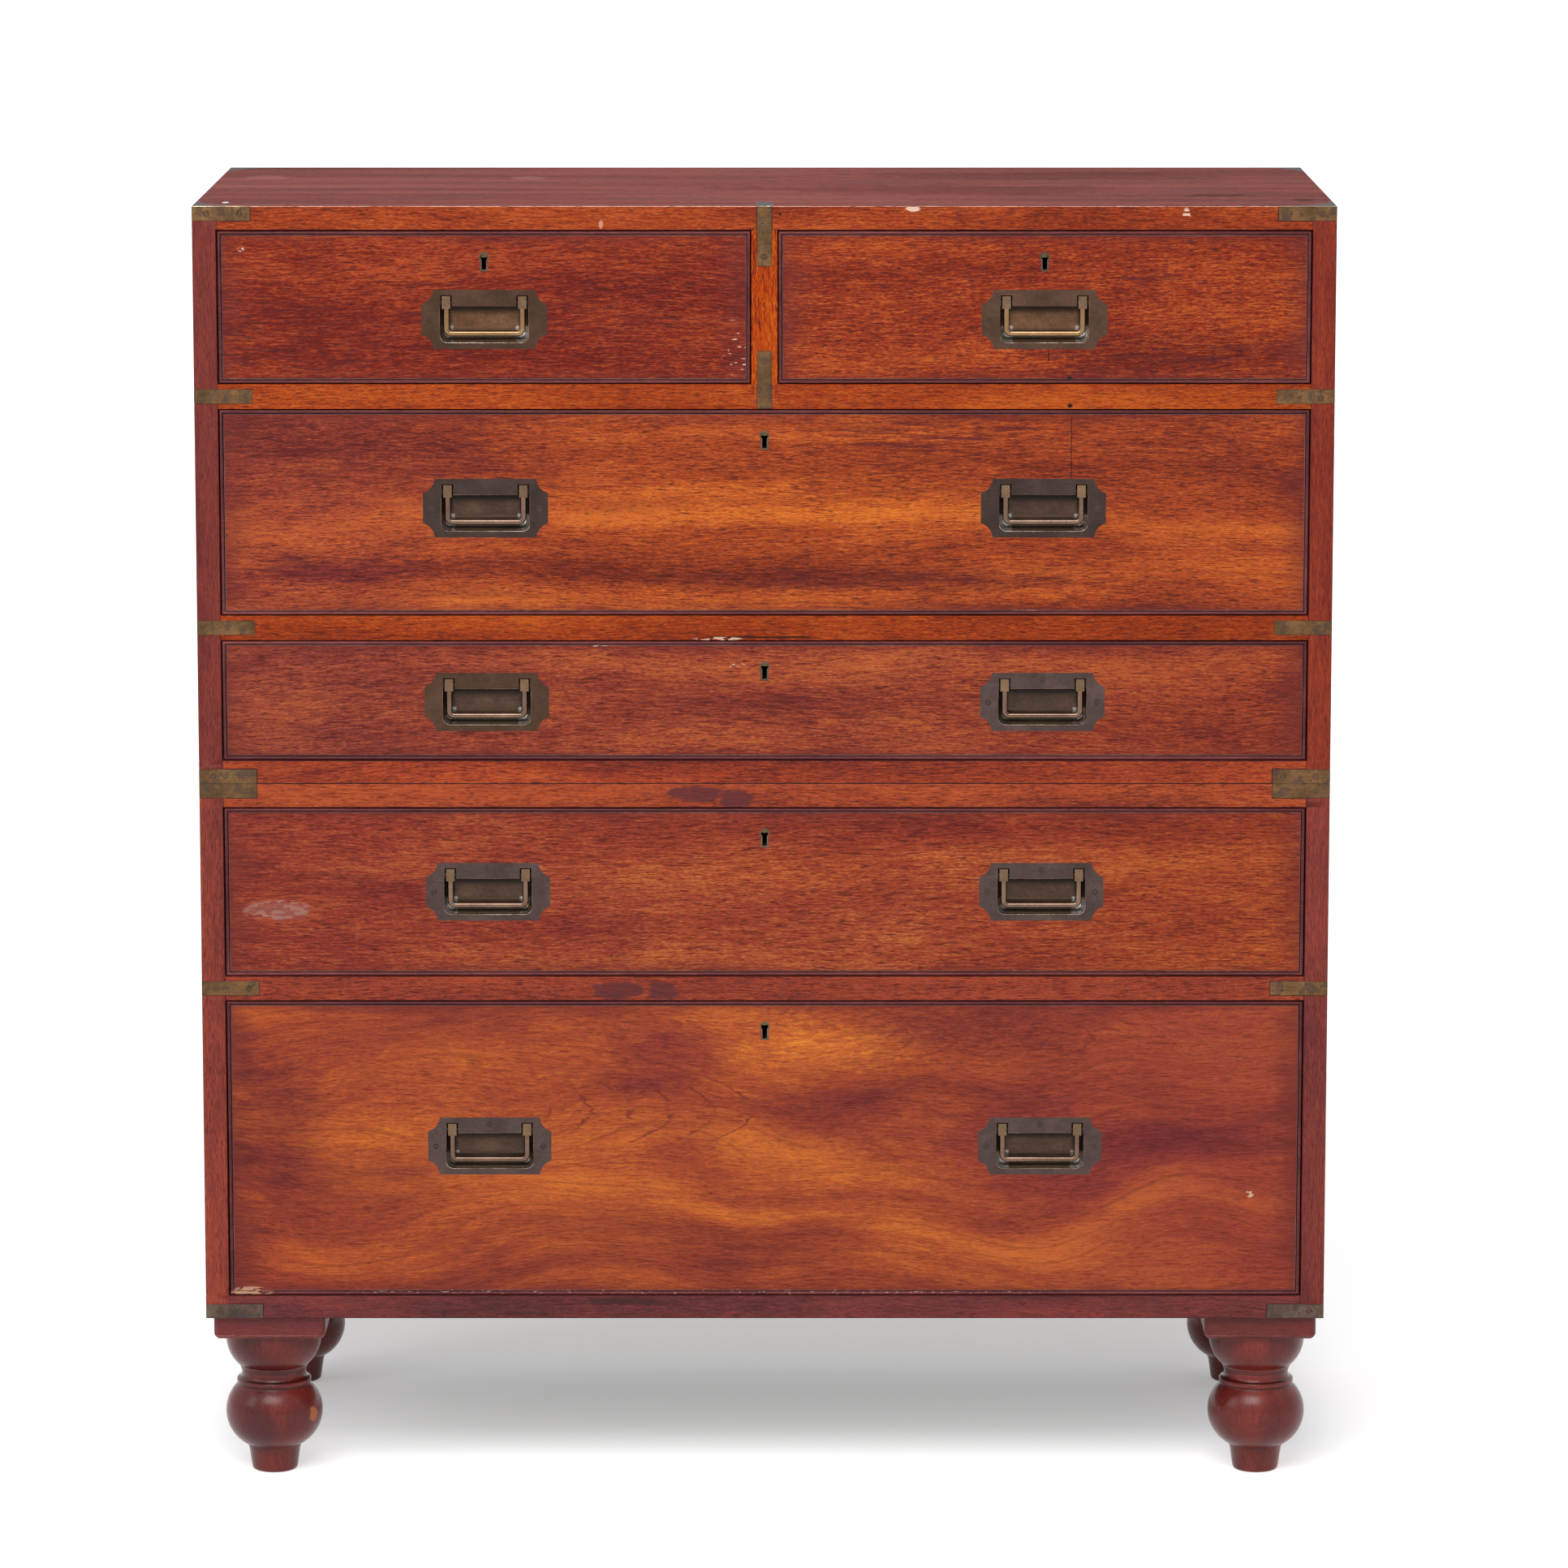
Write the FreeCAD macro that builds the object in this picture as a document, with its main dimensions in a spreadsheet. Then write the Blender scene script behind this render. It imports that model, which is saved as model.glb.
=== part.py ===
"""A campaign chest of drawers: two brass-bound cases, one on the other, on turned screw-in feet.

The origin is on the floor under the middle of the chest. +Z is up and the drawers open towards -Y.
All sizes are in millimetres. The driving sizes are cells of the sheet "Sizes", and every piece is
bound to them, so that a change in a cell carries through the chest.
"""
import FreeCAD, Part
import math
import os

import Sketcher
from FreeCAD import Vector

SIZES = {
    # the two cases
    "case_width": 991.0,
    "case_depth": 432.0,
    "board": 20.8,
    "rail_height": 21.5,
    "rail_depth": 64.0,
    "divider_width": 22.5,
    "runner_width": 24.0,
    "bearer_overhang": 16.0,
    # heights of the drawer openings, from the top down
    "short_opening": 134.0,
    "deep_opening": 181.5,
    "shallow_opening": 106.5,
    "middle_opening": 151.0,
    "bottom_opening": 266.5,
    # back boards in their rebate
    "back_thickness": 10.0,
    "back_rebate": 10.0,
    "back_gap": 0.8,
    # pegs that locate the upper case
    "peg_radius": 5.0,
    "peg_height": 12.0,
    "peg_seat": 12.0,
    "peg_inset": 60.0,
    "peg_clearance": 0.3,
    # foot blocks and turned feet
    "block_width": 99.0,
    "block_height": 21.0,
    "block_inset": 6.0,
    "block_chamfer": 3.5,
    "foot_height": 130.0,
    "spigot_radius": 13.0,
    "spigot_length": 17.0,
    "spigot_clearance": 0.2,
    "sole_radius": 20.5,
    "ankle_radius": 23.2,
    "ankle_level": 21.0,
    "ball_curve": 34.2,
    "ball_offset": 9.0,
    "ball_level": 54.2,
    "ring_radius": 34.0,
    "ring_bottom_level": 82.0,
    "ring_top_level": 86.0,
    "neck_radius": 29.0,
    "neck_level": 90.0,
    "bowl_curve": 33.0,
    "bowl_offset": 9.5,
    "bowl_level": 122.0,
    # drawers
    "side_gap": 1.0,
    "top_gap": 1.0,
    "bottom_gap": 0.8,
    "slide_clearance": 0.2,
    "front_thickness": 20.5,
    "bead_width": 4.0,
    "bead_depth": 8.0,
    "bead_proud": 1.5,
    "bead_chamfer": 1.3,
    "drawer_side": 9.5,
    "drawer_back": 9.0,
    "side_drop": 3.0,
    "back_drop": 8.0,
    "drawer_rear_gap": 12.0,
    "panel_thickness": 6.0,
    "panel_rise": 6.0,
    "panel_groove": 4.5,
    "pin_width": 10.0,
    "tail_flare": 2.0,
    "tail_pitch": 45.0,
    # drawer stops
    "stop_length": 40.0,
    "stop_width": 18.0,
    "stop_height": 4.0,
    "stop_inset": 90.0,
    "stop_clearance": 0.2,
    # flush handles
    "plate_width": 109.0,
    "plate_height": 51.5,
    "plate_thickness": 2.5,
    "scoop_width": 10.3,
    "scoop_height": 12.6,
    "scoop_curve": 14.5,
    "recess_width": 77.0,
    "recess_bottom_margin": 5.6,
    "recess_ledge_margin": 14.3,
    "recess_round": 6.5,
    "pan_depth": 11.5,
    "pan_wall": 2.0,
    "pan_cheek": 2.5,
    "pan_lip": 1.5,
    "waist_depth": 7.5,
    "waist_inset": 2.0,
    "waist_round": 6.0,
    "floor_side_inset": 7.0,
    "floor_low_inset": 9.0,
    "floor_top_inset": 0.5,
    "floor_round": 4.0,
    "notch_overlap": 4.5,
    "notch_margin": 5.0,
    "notch_depth": 10.0,
    "short_handle_rise": -10.7,
    "deep_handle_rise": 3.7,
    "shallow_handle_rise": -1.6,
    "middle_handle_rise": 0.0,
    "bottom_handle_rise": 1.9,
    # bails
    "bail_spacing": 66.0,
    "rod_radius": 2.45,
    "bail_drop": 27.0,
    "bail_bend": 4.2,
    "knuckle_width": 8.2,
    "knuckle_height": 10.8,
    "knuckle_depth": 6.4,
    "knuckle_proud": 0.5,
    "knuckle_chamfer": 1.3,
    "swing_clearance": 0.3,
    "stub_radius": 1.2,
    "stub_length": 1.4,
    "stub_clearance": 0.05,
    # locks and keyholes
    "key_level": 23.5,
    "liner_radius": 4.6,
    "liner_slot": 6.8,
    "liner_drop": 12.4,
    "liner_wall": 1.5,
    "lock_width": 64.0,
    "lock_height": 42.0,
    "lock_thickness": 11.0,
    "lock_key_depth": 2.5,
    "bolt_width": 20.0,
    "bolt_thickness": 5.0,
    "bolt_height": 24.0,
    "bolt_clearance": 0.2,
    "bolt_travel": 7.0,
    "mortise_clearance": 1.0,
    # flush brass straps
    "strap_leg": 50.7,
    "strap_width": 12.9,
    "strap_thickness": 1.5,
    "leaf_tip": 2.5,
    "centre_strap_leg": 52.3,
    "centre_strap_width": 13.0,
    "centre_leaf": 48.0,
}
BACK_BOARDS = 4
# The small rounds and the feet's curves repeat, so they are made in a few flat bands.
ROD_SIDES = 12
PIN_SIDES = 8
BEND_BANDS = 2
DISH_BANDS = 3
BALL_BANDS = 5
BOWL_BANDS = 2
# where the ball and the bowl of a foot start and end, in degrees round their curve's centre
BALL_ANGLES = (-60.2, 48.9)
BOWL_ANGLES = (-49.3, 0.0)


class Size:
    """A length that knows both its number and the expression that binds it to the sheet."""

    def __init__(self, value, text):
        self.value = value
        self.text = text

    def __add__(self, other):
        other = as_size(other)
        return Size(self.value + other.value, f"({self.text} + {other.text})")

    def __sub__(self, other):
        other = as_size(other)
        return Size(self.value - other.value, f"({self.text} - {other.text})")

    def __mul__(self, number):
        number = round(number, 9)
        return Size(self.value * number, f"({self.text} * ({number}))")

    def __truediv__(self, number):
        return Size(self.value / number, f"({self.text} / {number})")

    def __neg__(self):
        return Size(-self.value, f"(0 - {self.text})")

    __radd__ = __add__
    __rmul__ = __mul__


def as_size(number):
    """A Size as it is, or a plain number as a Size."""
    return number if isinstance(number, Size) else Size(float(number), f"{number}")


class Sheet:
    """Reads a cell by its alias, as in size.board."""

    def __getattr__(self, alias):
        return Size(SIZES[alias], f"Sizes.{alias}")


size = Sheet()
doc = FreeCAD.newDocument("campaign_chest")


def fill_sheet():
    """One row for each size: its name, and its number under an alias of that name."""
    sheet = doc.addObject("Spreadsheet::Sheet", "Sizes")
    for row, (alias, number) in enumerate(SIZES.items(), 1):
        sheet.set(f"A{row}", alias)
        sheet.set(f"B{row}", str(number))
        sheet.setAlias(f"B{row}", alias)
    doc.recompute()


# ---- helpers -------------------------------------------------------------------------------------


def bind(thing, setting, length):
    """Ties one property of an object to the sheet."""
    thing.setExpression(setting, as_size(length).text)


def place(thing, x, y, z):
    """Binds where an object stands, and returns it."""
    for axis, length in zip("xyz", (x, y, z)):
        bind(thing, f"Placement.Base.{axis}", length)
    return thing


def block(name, x, y, z):
    """A squared piece between two planes on each axis."""
    made = doc.addObject("Part::Box", name)
    for side, (low, high) in zip(("Length", "Width", "Height"), (x, y, z)):
        bind(made, side, high - low)
    return place(made, x[0], y[0], z[0])


def cut(name, base, *tools):
    """The base less each tool in turn."""
    for number, tool in enumerate(tools, 1):
        made = doc.addObject("Part::Cut", f"{name}_cut_{number}")
        made.Base = base
        made.Tool = tool
        base = made
    return base


def fuse(name, *pieces):
    """Pieces of one solid, joined."""
    made = doc.addObject("Part::MultiFuse", name)
    made.Shapes = list(pieces)
    return made


def together(name, *pieces):
    """Pieces that stay separate solids."""
    made = doc.addObject("Part::Compound", name)
    made.Links = list(pieces)
    return made


def again(name, source, x=0, y=0, z=0):
    """The same piece once more, at another place."""
    made = doc.addObject("App::Link", name)
    made.LinkedObject = source
    return place(made, x, y, z)


def mirror(name, source, middle):
    """The piece seen in a mirror that stands across X."""
    made = doc.addObject("Part::Mirroring", name)
    made.Source = source
    made.Normal = (1, 0, 0)
    bind(made, "Base.x", middle)
    return made


def bend_between(start, end, radius, turn):
    """An arc from start to end; turn is 1 where it bends to the left and -1 to the right."""
    along = end - start
    half = along.Length / 2
    across = Vector(-along.y, along.x, 0).normalize() * turn
    centre = start + along / 2 + across * math.sqrt(max(radius**2 - half**2, 0))
    middle = centre - across * radius
    return Part.Arc(start, middle, end).toShape().Curve, centre


def outline(body, name, plane, corners):
    """A closed sketch on one of the body's own planes.

    Each corner is (across, up), or (across, up, radius, turn) where an arc leads on to the next one.
    """
    sketch = body.newObject("Sketcher::SketchObject", name)
    own_plane = next(o for o in body.Origin.OriginFeatures if o.Role == plane)
    sketch.AttachmentSupport = [(own_plane, "")]
    sketch.MapMode = "FlatFace"
    points = [Vector(as_size(c[0]).value, as_size(c[1]).value, 0) for c in corners]
    ends = []
    for number, corner in enumerate(corners):
        start = points[number]
        end = points[(number + 1) % len(points)]
        if len(corner) == 2:
            sketch.addGeometry(Part.LineSegment(start, end))
            ends.append((1, 2))
            continue
        radius, turn = as_size(corner[2]), corner[3]
        circle, centre = bend_between(start, end, radius.value, turn)
        first, last = (start, end) if turn > 0 else (end, start)
        angles = [math.atan2(p.y - centre.y, p.x - centre.x) for p in (first, last)]
        arc = Part.Circle(centre, Vector(0, 0, 1), radius.value)
        sketch.addGeometry(Part.ArcOfCircle(arc, *angles))
        ends.append((1, 2) if turn > 0 else (2, 1))
    for number, corner in enumerate(corners):
        following = (number + 1) % len(corners)
        sketch.addConstraint(
            Sketcher.Constraint("Coincident", number, ends[number][1], following, ends[following][0])
        )
        for kind, label, length in (("DistanceX", "across", corner[0]), ("DistanceY", "up", corner[1])):
            length = as_size(length)
            made = sketch.addConstraint(
                Sketcher.Constraint(kind, -1, 1, number, ends[number][0], length.value)
            )
            sketch.renameConstraint(made, f"{label}_{number}")
            bind(sketch, f"Constraints.{label}_{number}", length)
        if len(corner) == 4:
            made = sketch.addConstraint(
                Sketcher.Constraint("Radius", number, as_size(corner[2]).value)
            )
            sketch.renameConstraint(made, f"bend_{number}")
            bind(sketch, f"Constraints.bend_{number}", corner[2])
    return sketch


def rectangle(x, z):
    """The corners of a rectangle between two places on each axis."""
    return [(x[0], z[0]), (x[1], z[0]), (x[1], z[1]), (x[0], z[1])]


def bands(across, up, radius, angles, count):
    """Corners along an arc about a centre, for a round stretch in a few flat bands."""
    first, last = (math.radians(a) for a in angles)
    turns = [first + (last - first) * n / count for n in range(count + 1)]
    return [(across + radius * math.cos(turn), up + radius * math.sin(turn)) for turn in turns]


def ring(across, up, radius, sides):
    """The corners of a regular outline that stands for a small round."""
    return bands(across, up, radius, (0, 360), sides)[:-1]


def prism(name, sides, radius, height, axis, turn):
    """A straight bar with a regular section, which runs the way that Z points once it is turned."""
    made = doc.addObject("Part::Prism", name)
    made.Polygon = sides
    bind(made, "Circumradius", radius)
    bind(made, "Height", height)
    made.Placement.Rotation = FreeCAD.Rotation(axis, turn)
    return made


def new_body(name):
    return doc.addObject("PartDesign::Body", name)


def pad(body, name, sketch, length, backwards=False):
    made = body.newObject("PartDesign::Pad", name)
    made.Profile = sketch
    made.Reversed = backwards
    bind(made, "Length", length)
    return made


def pocket(body, name, sketch, length, backwards=False):
    made = body.newObject("PartDesign::Pocket", name)
    made.Profile = sketch
    made.Reversed = backwards
    bind(made, "Length", length)
    return made


def chamfer(body, name, base, edges, width):
    made = body.newObject("PartDesign::Chamfer", name)
    made.Base = (base, edges)
    bind(made, "Size", width)
    return made


def edges_where(feature, wanted):
    """Names of the feature's edges whose two ends both pass the test."""
    doc.recompute()
    found = []
    for number, edge in enumerate(feature.Shape.Edges, 1):
        ends = [v.Point for v in edge.Vertexes]
        if len(ends) == 2 and wanted(*ends):
            found.append(f"Edge{number}")
    return found


def must_remove(before, after):
    """A pocket that points away from its solid cuts nothing, so the volumes are compared."""
    doc.recompute()
    if after.Shape.Volume > before.Shape.Volume - 1.0:
        raise RuntimeError(f"{after.Name} removes nothing")


def near(a, b):
    return abs(a - b) < 0.001


# ---- levels and faces that the pieces share --------------------------------------------------------

fill_sheet()

half_width = size.case_width / 2
front = -size.case_depth / 2
rear = size.case_depth / 2
inside = half_width - size.board
half_divider = size.divider_width / 2

lower_bottom = size.foot_height + size.block_height
bottom_low = lower_bottom + size.board
bottom_high = bottom_low + size.bottom_opening
middle_low = bottom_high + size.rail_height
middle_high = middle_low + size.middle_opening
case_joint = middle_high + size.board
shallow_low = case_joint + size.board
shallow_high = shallow_low + size.shallow_opening
deep_low = shallow_high + size.rail_height
deep_high = deep_low + size.deep_opening
short_low = deep_high + size.rail_height
short_high = short_low + size.short_opening
chest_top = short_high + size.board

back_face = rear - size.back_thickness
handle_middle = (inside + half_divider) / 2

bead_back = front + size.bead_proud + size.bead_depth
drawer_face = front + size.bead_proud
front_back = drawer_face + size.front_thickness
drawer_end = back_face - size.drawer_rear_gap
bolt_middle = front_back - size.lock_thickness / 2


# ---- handle: plate and pan in one casting, and its bail -------------------------------------------
# Local frame: the plate's face is at y = 0 and its middle is the origin.

half_plate = size.plate_width / 2
half_tall = size.plate_height / 2
recess_low = -half_tall + size.recess_bottom_margin
ledge = half_tall - size.recess_ledge_margin
half_recess = size.recess_width / 2
notch_high = half_tall - size.notch_margin
bail_side = size.bail_spacing / 2
half_notch = half_recess - bail_side
swing_radius = size.knuckle_height / 2 + size.swing_clearance
pivot_level = notch_high - swing_radius - size.swing_clearance
pivot_depth = size.knuckle_depth / 2 - size.knuckle_proud
wall_outside = half_recess + size.pan_cheek
bridge_half = bail_side - half_notch - size.pan_wall


def plate_corners():
    """A rectangle whose four corners are scooped out."""
    wide, tall = half_plate, half_tall
    in_x, in_z = wide - size.scoop_width, tall - size.scoop_height
    curve = size.scoop_curve
    return [
        (-in_x, -tall),
        (in_x, -tall, curve, -1),
        (wide, -in_z),
        (wide, in_z, curve, -1),
        (in_x, tall),
        (-in_x, tall, curve, -1),
        (-wide, in_z),
        (-wide, -in_z, curve, -1),
    ]


def pan_corners():
    """The back of the pan: a rectangle with two horns, one behind each knuckle."""
    low, high = recess_low - size.pan_lip, notch_high + size.pan_wall
    saddle = ledge + size.pan_wall
    return [
        (-wall_outside, low),
        (wall_outside, low),
        (wall_outside, high),
        (bridge_half, high),
        (bridge_half, saddle),
        (-bridge_half, saddle),
        (-bridge_half, high),
        (-wall_outside, high),
    ]


def recess_corners(side_inset, low_inset, top_inset, curve):
    """The mouth, waist or floor of the pan; its two lower corners are rounded in flat bands."""
    side, low, high = half_recess - side_inset, recess_low + low_inset, ledge - top_inset
    return [
        (-side, high),
        *bands(curve - side, low + curve, curve, (180, 270), DISH_BANDS),
        *bands(side - curve, low + curve, curve, (270, 360), DISH_BANDS),
        (side, high),
    ]


def handle_envelope():
    """The outside of the casting, which is also the shape of its mortise."""
    body = new_body("handle_envelope")
    plate = outline(body, "plate_outline", "XZ_Plane", plate_corners())
    pad(body, "plate_pad", plate, size.plate_thickness, True)
    pan = outline(body, "pan_outline", "XZ_Plane", pan_corners())
    pad(body, "pan_pad", pan, size.pan_depth + size.pan_wall, True)
    return body


def handle_recess():
    """The dished hollow of the pan: steep down to a waist, then sloping in to its small floor."""
    body = new_body("handle_recess")
    waist_top = size.floor_top_inset / 2
    levels = {
        "mouth": (as_size(0), as_size(0), as_size(0), as_size(0), size.recess_round),
        "waist": (size.waist_depth, size.waist_inset, size.waist_inset, waist_top, size.waist_round),
        "floor": (
            size.pan_depth,
            size.floor_side_inset,
            size.floor_low_inset,
            size.floor_top_inset,
            size.floor_round,
        ),
    }
    outlines = []
    for level, (depth, *corner_sizes) in levels.items():
        sketch = outline(body, level, "XZ_Plane", recess_corners(*corner_sizes))
        bind(sketch, "AttachmentOffset.Base.z", -depth)
        outlines.append(sketch)
    loft = body.newObject("PartDesign::AdditiveLoft", "dish")
    loft.Profile = outlines[0]
    loft.Sections = outlines[1:]
    loft.Ruled = True
    return body


def handle_plate(envelope, recess):
    """The casting: envelope less recess, knuckle notches and the two stub holes."""
    hollows = []
    for number, side in enumerate((-1, 1)):
        middle = bail_side * side
        hollows.append(
            block(
                f"notch_{number}",
                (middle - half_notch, middle + half_notch),
                (as_size(-1), size.notch_depth),
                (ledge - size.notch_overlap, notch_high),
            )
        )
        flat = (size.stub_radius + size.stub_clearance) / math.cos(math.pi / PIN_SIDES)
        reach = half_notch + size.stub_length + size.stub_clearance
        hole = prism(f"stub_hole_{number}", PIN_SIDES, flat, reach, Vector(0, 1, 0), 90 * side)
        hollows.append(place(hole, middle, pivot_depth, pivot_level))
    return cut("handle_plate", envelope, recess, *hollows)


def bail():
    """A drop handle: a rod bent to a U between two square knuckles with stub pins.

    Its local frame is the plate's. The stubs turn about the X direction through the knuckles.
    """
    body = new_body("bail_rod")
    bend = size.bail_bend
    turn_across, turn_up = bail_side - bend, pivot_level - size.bail_drop + bend
    path = [
        (-bail_side, pivot_level),
        *bands(-turn_across, turn_up, bend, (180, 270), BEND_BANDS),
        *bands(turn_across, turn_up, bend, (270, 360), BEND_BANDS),
        (bail_side, pivot_level),
    ]
    spine = outline(body, "rod_path", "XZ_Plane", path)
    spine.delGeometry(len(path) - 1)
    section = outline(body, "rod_section", "XY_Plane", ring(-bail_side, 0, size.rod_radius, ROD_SIDES))
    bind(section, "AttachmentOffset.Base.z", pivot_level)
    pipe = body.newObject("PartDesign::AdditivePipe", "rod")
    pipe.Profile = section
    pipe.Spine = spine
    pipe.Transition = "Right corner"
    place(body, 0, pivot_depth, 0)

    half_deep, half_high, cut_off = size.knuckle_depth / 2, size.knuckle_height / 2, size.knuckle_chamfer
    knuckle = new_body("knuckle")
    shape = [
        (half_deep - cut_off, -half_high),
        (half_deep, -half_high + cut_off),
        (half_deep, half_high - cut_off),
        (half_deep - cut_off, half_high),
        (-half_deep + cut_off, half_high),
        (-half_deep, half_high - cut_off),
        (-half_deep, -half_high + cut_off),
        (-half_deep + cut_off, -half_high),
    ]
    pad(knuckle, "knuckle_pad", outline(knuckle, "knuckle_side", "YZ_Plane", shape), size.knuckle_width)
    pieces = [body]
    for number, side in enumerate((-1, 1)):
        middle = bail_side * side
        start = middle - size.knuckle_width / 2
        pieces.append(again(f"knuckle_{number}", knuckle, start, pivot_depth, pivot_level))
        reach = half_notch + size.stub_length
        stub = prism(f"stub_{number}", PIN_SIDES, size.stub_radius, reach, Vector(0, 1, 0), 90 * side)
        pieces.append(place(stub, middle, pivot_depth, pivot_level))
    return fuse("bail", *pieces)


# ---- keyhole, lock and bolt ------------------------------------------------------------------------
# Local frame: the drawer's face is at y = 0 and the key's round is at the origin.


def keyhole(name, radius, slot, drop, depth):
    """A plug in the shape of a keyhole: a round with a square-ended slot hanging from it."""
    across = prism(f"{name}_round", ROD_SIDES, radius, depth, Vector(1, 0, 0), -90)
    hanging = block(f"{name}_slot", (-slot / 2, slot / 2), (as_size(0), depth), (-drop, as_size(0)))
    return fuse(name, across, hanging)


# ---- feet --------------------------------------------------------------------------------------------


def turned_foot():
    """One turning: ankle, ball, ring, neck and bowl, with a spigot into the block above."""
    body = new_body("foot_body")
    top = size.foot_height
    profile = [
        (0, 0),
        (size.sole_radius, 0),
        (size.ankle_radius, size.ankle_level),
        *bands(size.ball_offset, size.ball_level, size.ball_curve, BALL_ANGLES, BALL_BANDS),
        (size.ring_radius, size.ring_bottom_level),
        (size.ring_radius, size.ring_top_level),
        (size.neck_radius, size.neck_level),
        *bands(size.bowl_offset, size.bowl_level, size.bowl_curve, BOWL_ANGLES, BOWL_BANDS),
        (size.bowl_offset + size.bowl_curve, top),
        (0, top),
    ]
    turning = body.newObject("PartDesign::Revolution", "foot_turning")
    turning.Profile = outline(body, "foot_profile", "XZ_Plane", profile)
    turning.ReferenceAxis = (turning.Profile[0], ["V_Axis"])
    turning.Angle = 360
    spigot = prism("spigot", ROD_SIDES, size.spigot_radius, top + size.spigot_length, Vector(0, 0, 1), 0)
    return fuse("turned_foot", body, spigot)


def foot_block():
    """A square block with eased edges, bored from below for the foot's spigot."""
    body = new_body("block_body")
    half = size.block_width / 2
    square = outline(body, "block_square", "XY_Plane", rectangle((-half, half), (-half, half)))
    made = pad(body, "block_pad", square, size.block_height)
    eased = edges_where(made, lambda a, b: not (near(a.z, b.z) and a.z > 1.0))
    chamfer(body, "block_easing", made, eased, size.block_chamfer)
    loose = size.spigot_clearance
    bore = size.spigot_radius + loose
    hole = prism("spigot_bore", ROD_SIDES, bore, size.spigot_length + loose, Vector(0, 0, 1), 0)
    return cut("foot_block", body, hole)


# ---- brass straps --------------------------------------------------------------------------------------


def corner_strap(name, x_side, y_side, low, high, leaf=False):
    """A flush strap let in round an upright corner; a top corner also has a curved leaf."""
    thick, leg = size.strap_thickness, size.strap_leg
    outer_x, outer_y = half_width * x_side, rear * y_side

    def span(outer, side, reach):
        return (outer - reach, outer) if side > 0 else (outer, outer + reach)

    legs = [
        block(f"{name}_front", span(outer_x, x_side, leg), span(outer_y, y_side, thick), (low, high)),
        block(f"{name}_side", span(outer_x, x_side, thick), span(outer_y, y_side, leg), (low, high)),
    ]
    if leaf:
        body = new_body(f"{name}_leaf_body")
        tip = size.leaf_tip
        turn = x_side * y_side
        corners = [
            (0, 0),
            (leg * -x_side, 0),
            (leg * -x_side, tip * -y_side, leg, -turn),
            (tip * -x_side, leg * -y_side),
            (0, leg * -y_side),
        ]
        sketch = outline(body, f"{name}_leaf", "XY_Plane", corners)
        pad(body, f"{name}_leaf_pad", sketch, thick)
        legs.append(place(body, outer_x, outer_y, high - thick))
    return fuse(name, *legs)


def upper_straps():
    width, leg = size.strap_width, size.strap_leg
    pieces = []
    for y_name, y_side in (("front", -1), ("back", 1)):
        for x_name, x_side in (("left", -1), ("right", 1)):
            pieces.append(
                corner_strap(
                    f"top_{y_name}_{x_name}", x_side, y_side, chest_top - width, chest_top, True
                )
            )
    for x_name, x_side in (("left", -1), ("right", 1)):
        for rail_name, rail in (("short", deep_high), ("deep", shallow_high)):
            low = rail + (size.rail_height - width) / 2
            pieces.append(corner_strap(f"{rail_name}_rail_{x_name}", x_side, -1, low, low + width))
        pieces.append(
            corner_strap(f"upper_joint_{x_name}", x_side, -1, case_joint, case_joint + width)
        )
    half = size.centre_strap_width / 2
    across, thick = (-half, half), size.strap_thickness
    upright = block(
        "centre_upright", across, (front, front + thick), (chest_top - size.centre_strap_leg, chest_top)
    )
    leaf = block("centre_leaf", across, (front, front + size.centre_leaf), (chest_top - thick, chest_top))
    pieces.append(fuse("centre_top_strap", upright, leaf))
    pieces.append(
        block("centre_low_strap", across, (front, front + thick), (deep_high, deep_high + leg))
    )
    return together("upper_straps", *pieces)


def lower_straps():
    width = size.strap_width
    pieces = []
    rail_low = bottom_high + (size.rail_height - width) / 2
    for x_name, x_side in (("left", -1), ("right", 1)):
        for label, low in (
            ("lower_joint", case_joint - width),
            ("bottom_rail", rail_low),
            ("foot", lower_bottom),
        ):
            pieces.append(corner_strap(f"{label}_{x_name}", x_side, -1, low, low + width))
    return together("lower_straps", *pieces)


# ---- drawers -------------------------------------------------------------------------------------------


def dovetail_comb(body, base, name, tail_end, baseline, first, last, tails):
    """Cuts the gaps between the tails at one end of a drawer side, and returns the last feature."""
    wide = size.pin_width / 2
    narrow = wide - size.tail_flare
    gap = outline(
        body,
        f"{name}_gap",
        "YZ_Plane",
        [
            (tail_end, first - narrow),
            (baseline, first - wide),
            (baseline, first + wide),
            (tail_end, first + narrow),
        ],
    )
    first_gap = pocket(body, f"{name}_first_gap", gap, size.drawer_side, True)
    must_remove(base, first_gap)
    row = body.newObject("PartDesign::LinearPattern", f"{name}_gaps")
    row.Originals = [first_gap]
    row.Direction = (gap, ["V_Axis"])
    row.Occurrences = tails + 1
    bind(row, "Length", last - first)
    body.Tip = row
    doc.recompute()
    return row


def drawer_side(name, left, low, high, panel_top, back_top):
    """The left side: a thin board with lapped tails in front and through tails behind."""
    body = new_body(f"{name}_side_body")
    face = outline(body, f"{name}_side_face", "YZ_Plane", rectangle((bead_back, drawer_end), (low, high)))
    board = pad(body, f"{name}_side_pad", face, size.drawer_side)
    doc.recompute()
    pitch = size.tail_pitch.value
    front_tails = max(2, round((high - low).value / pitch))
    combed = dovetail_comb(
        body, board, f"{name}_front", bead_back, front_back, low, high, front_tails
    )
    first = panel_top + size.pin_width
    last = back_top - size.pin_width
    back_tails = max(1, round((last - first).value / pitch))
    dovetail_comb(
        body, combed, f"{name}_rear", drawer_end, drawer_end - size.drawer_back, first, last, back_tails
    )
    return place(body, left, 0, 0)


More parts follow.
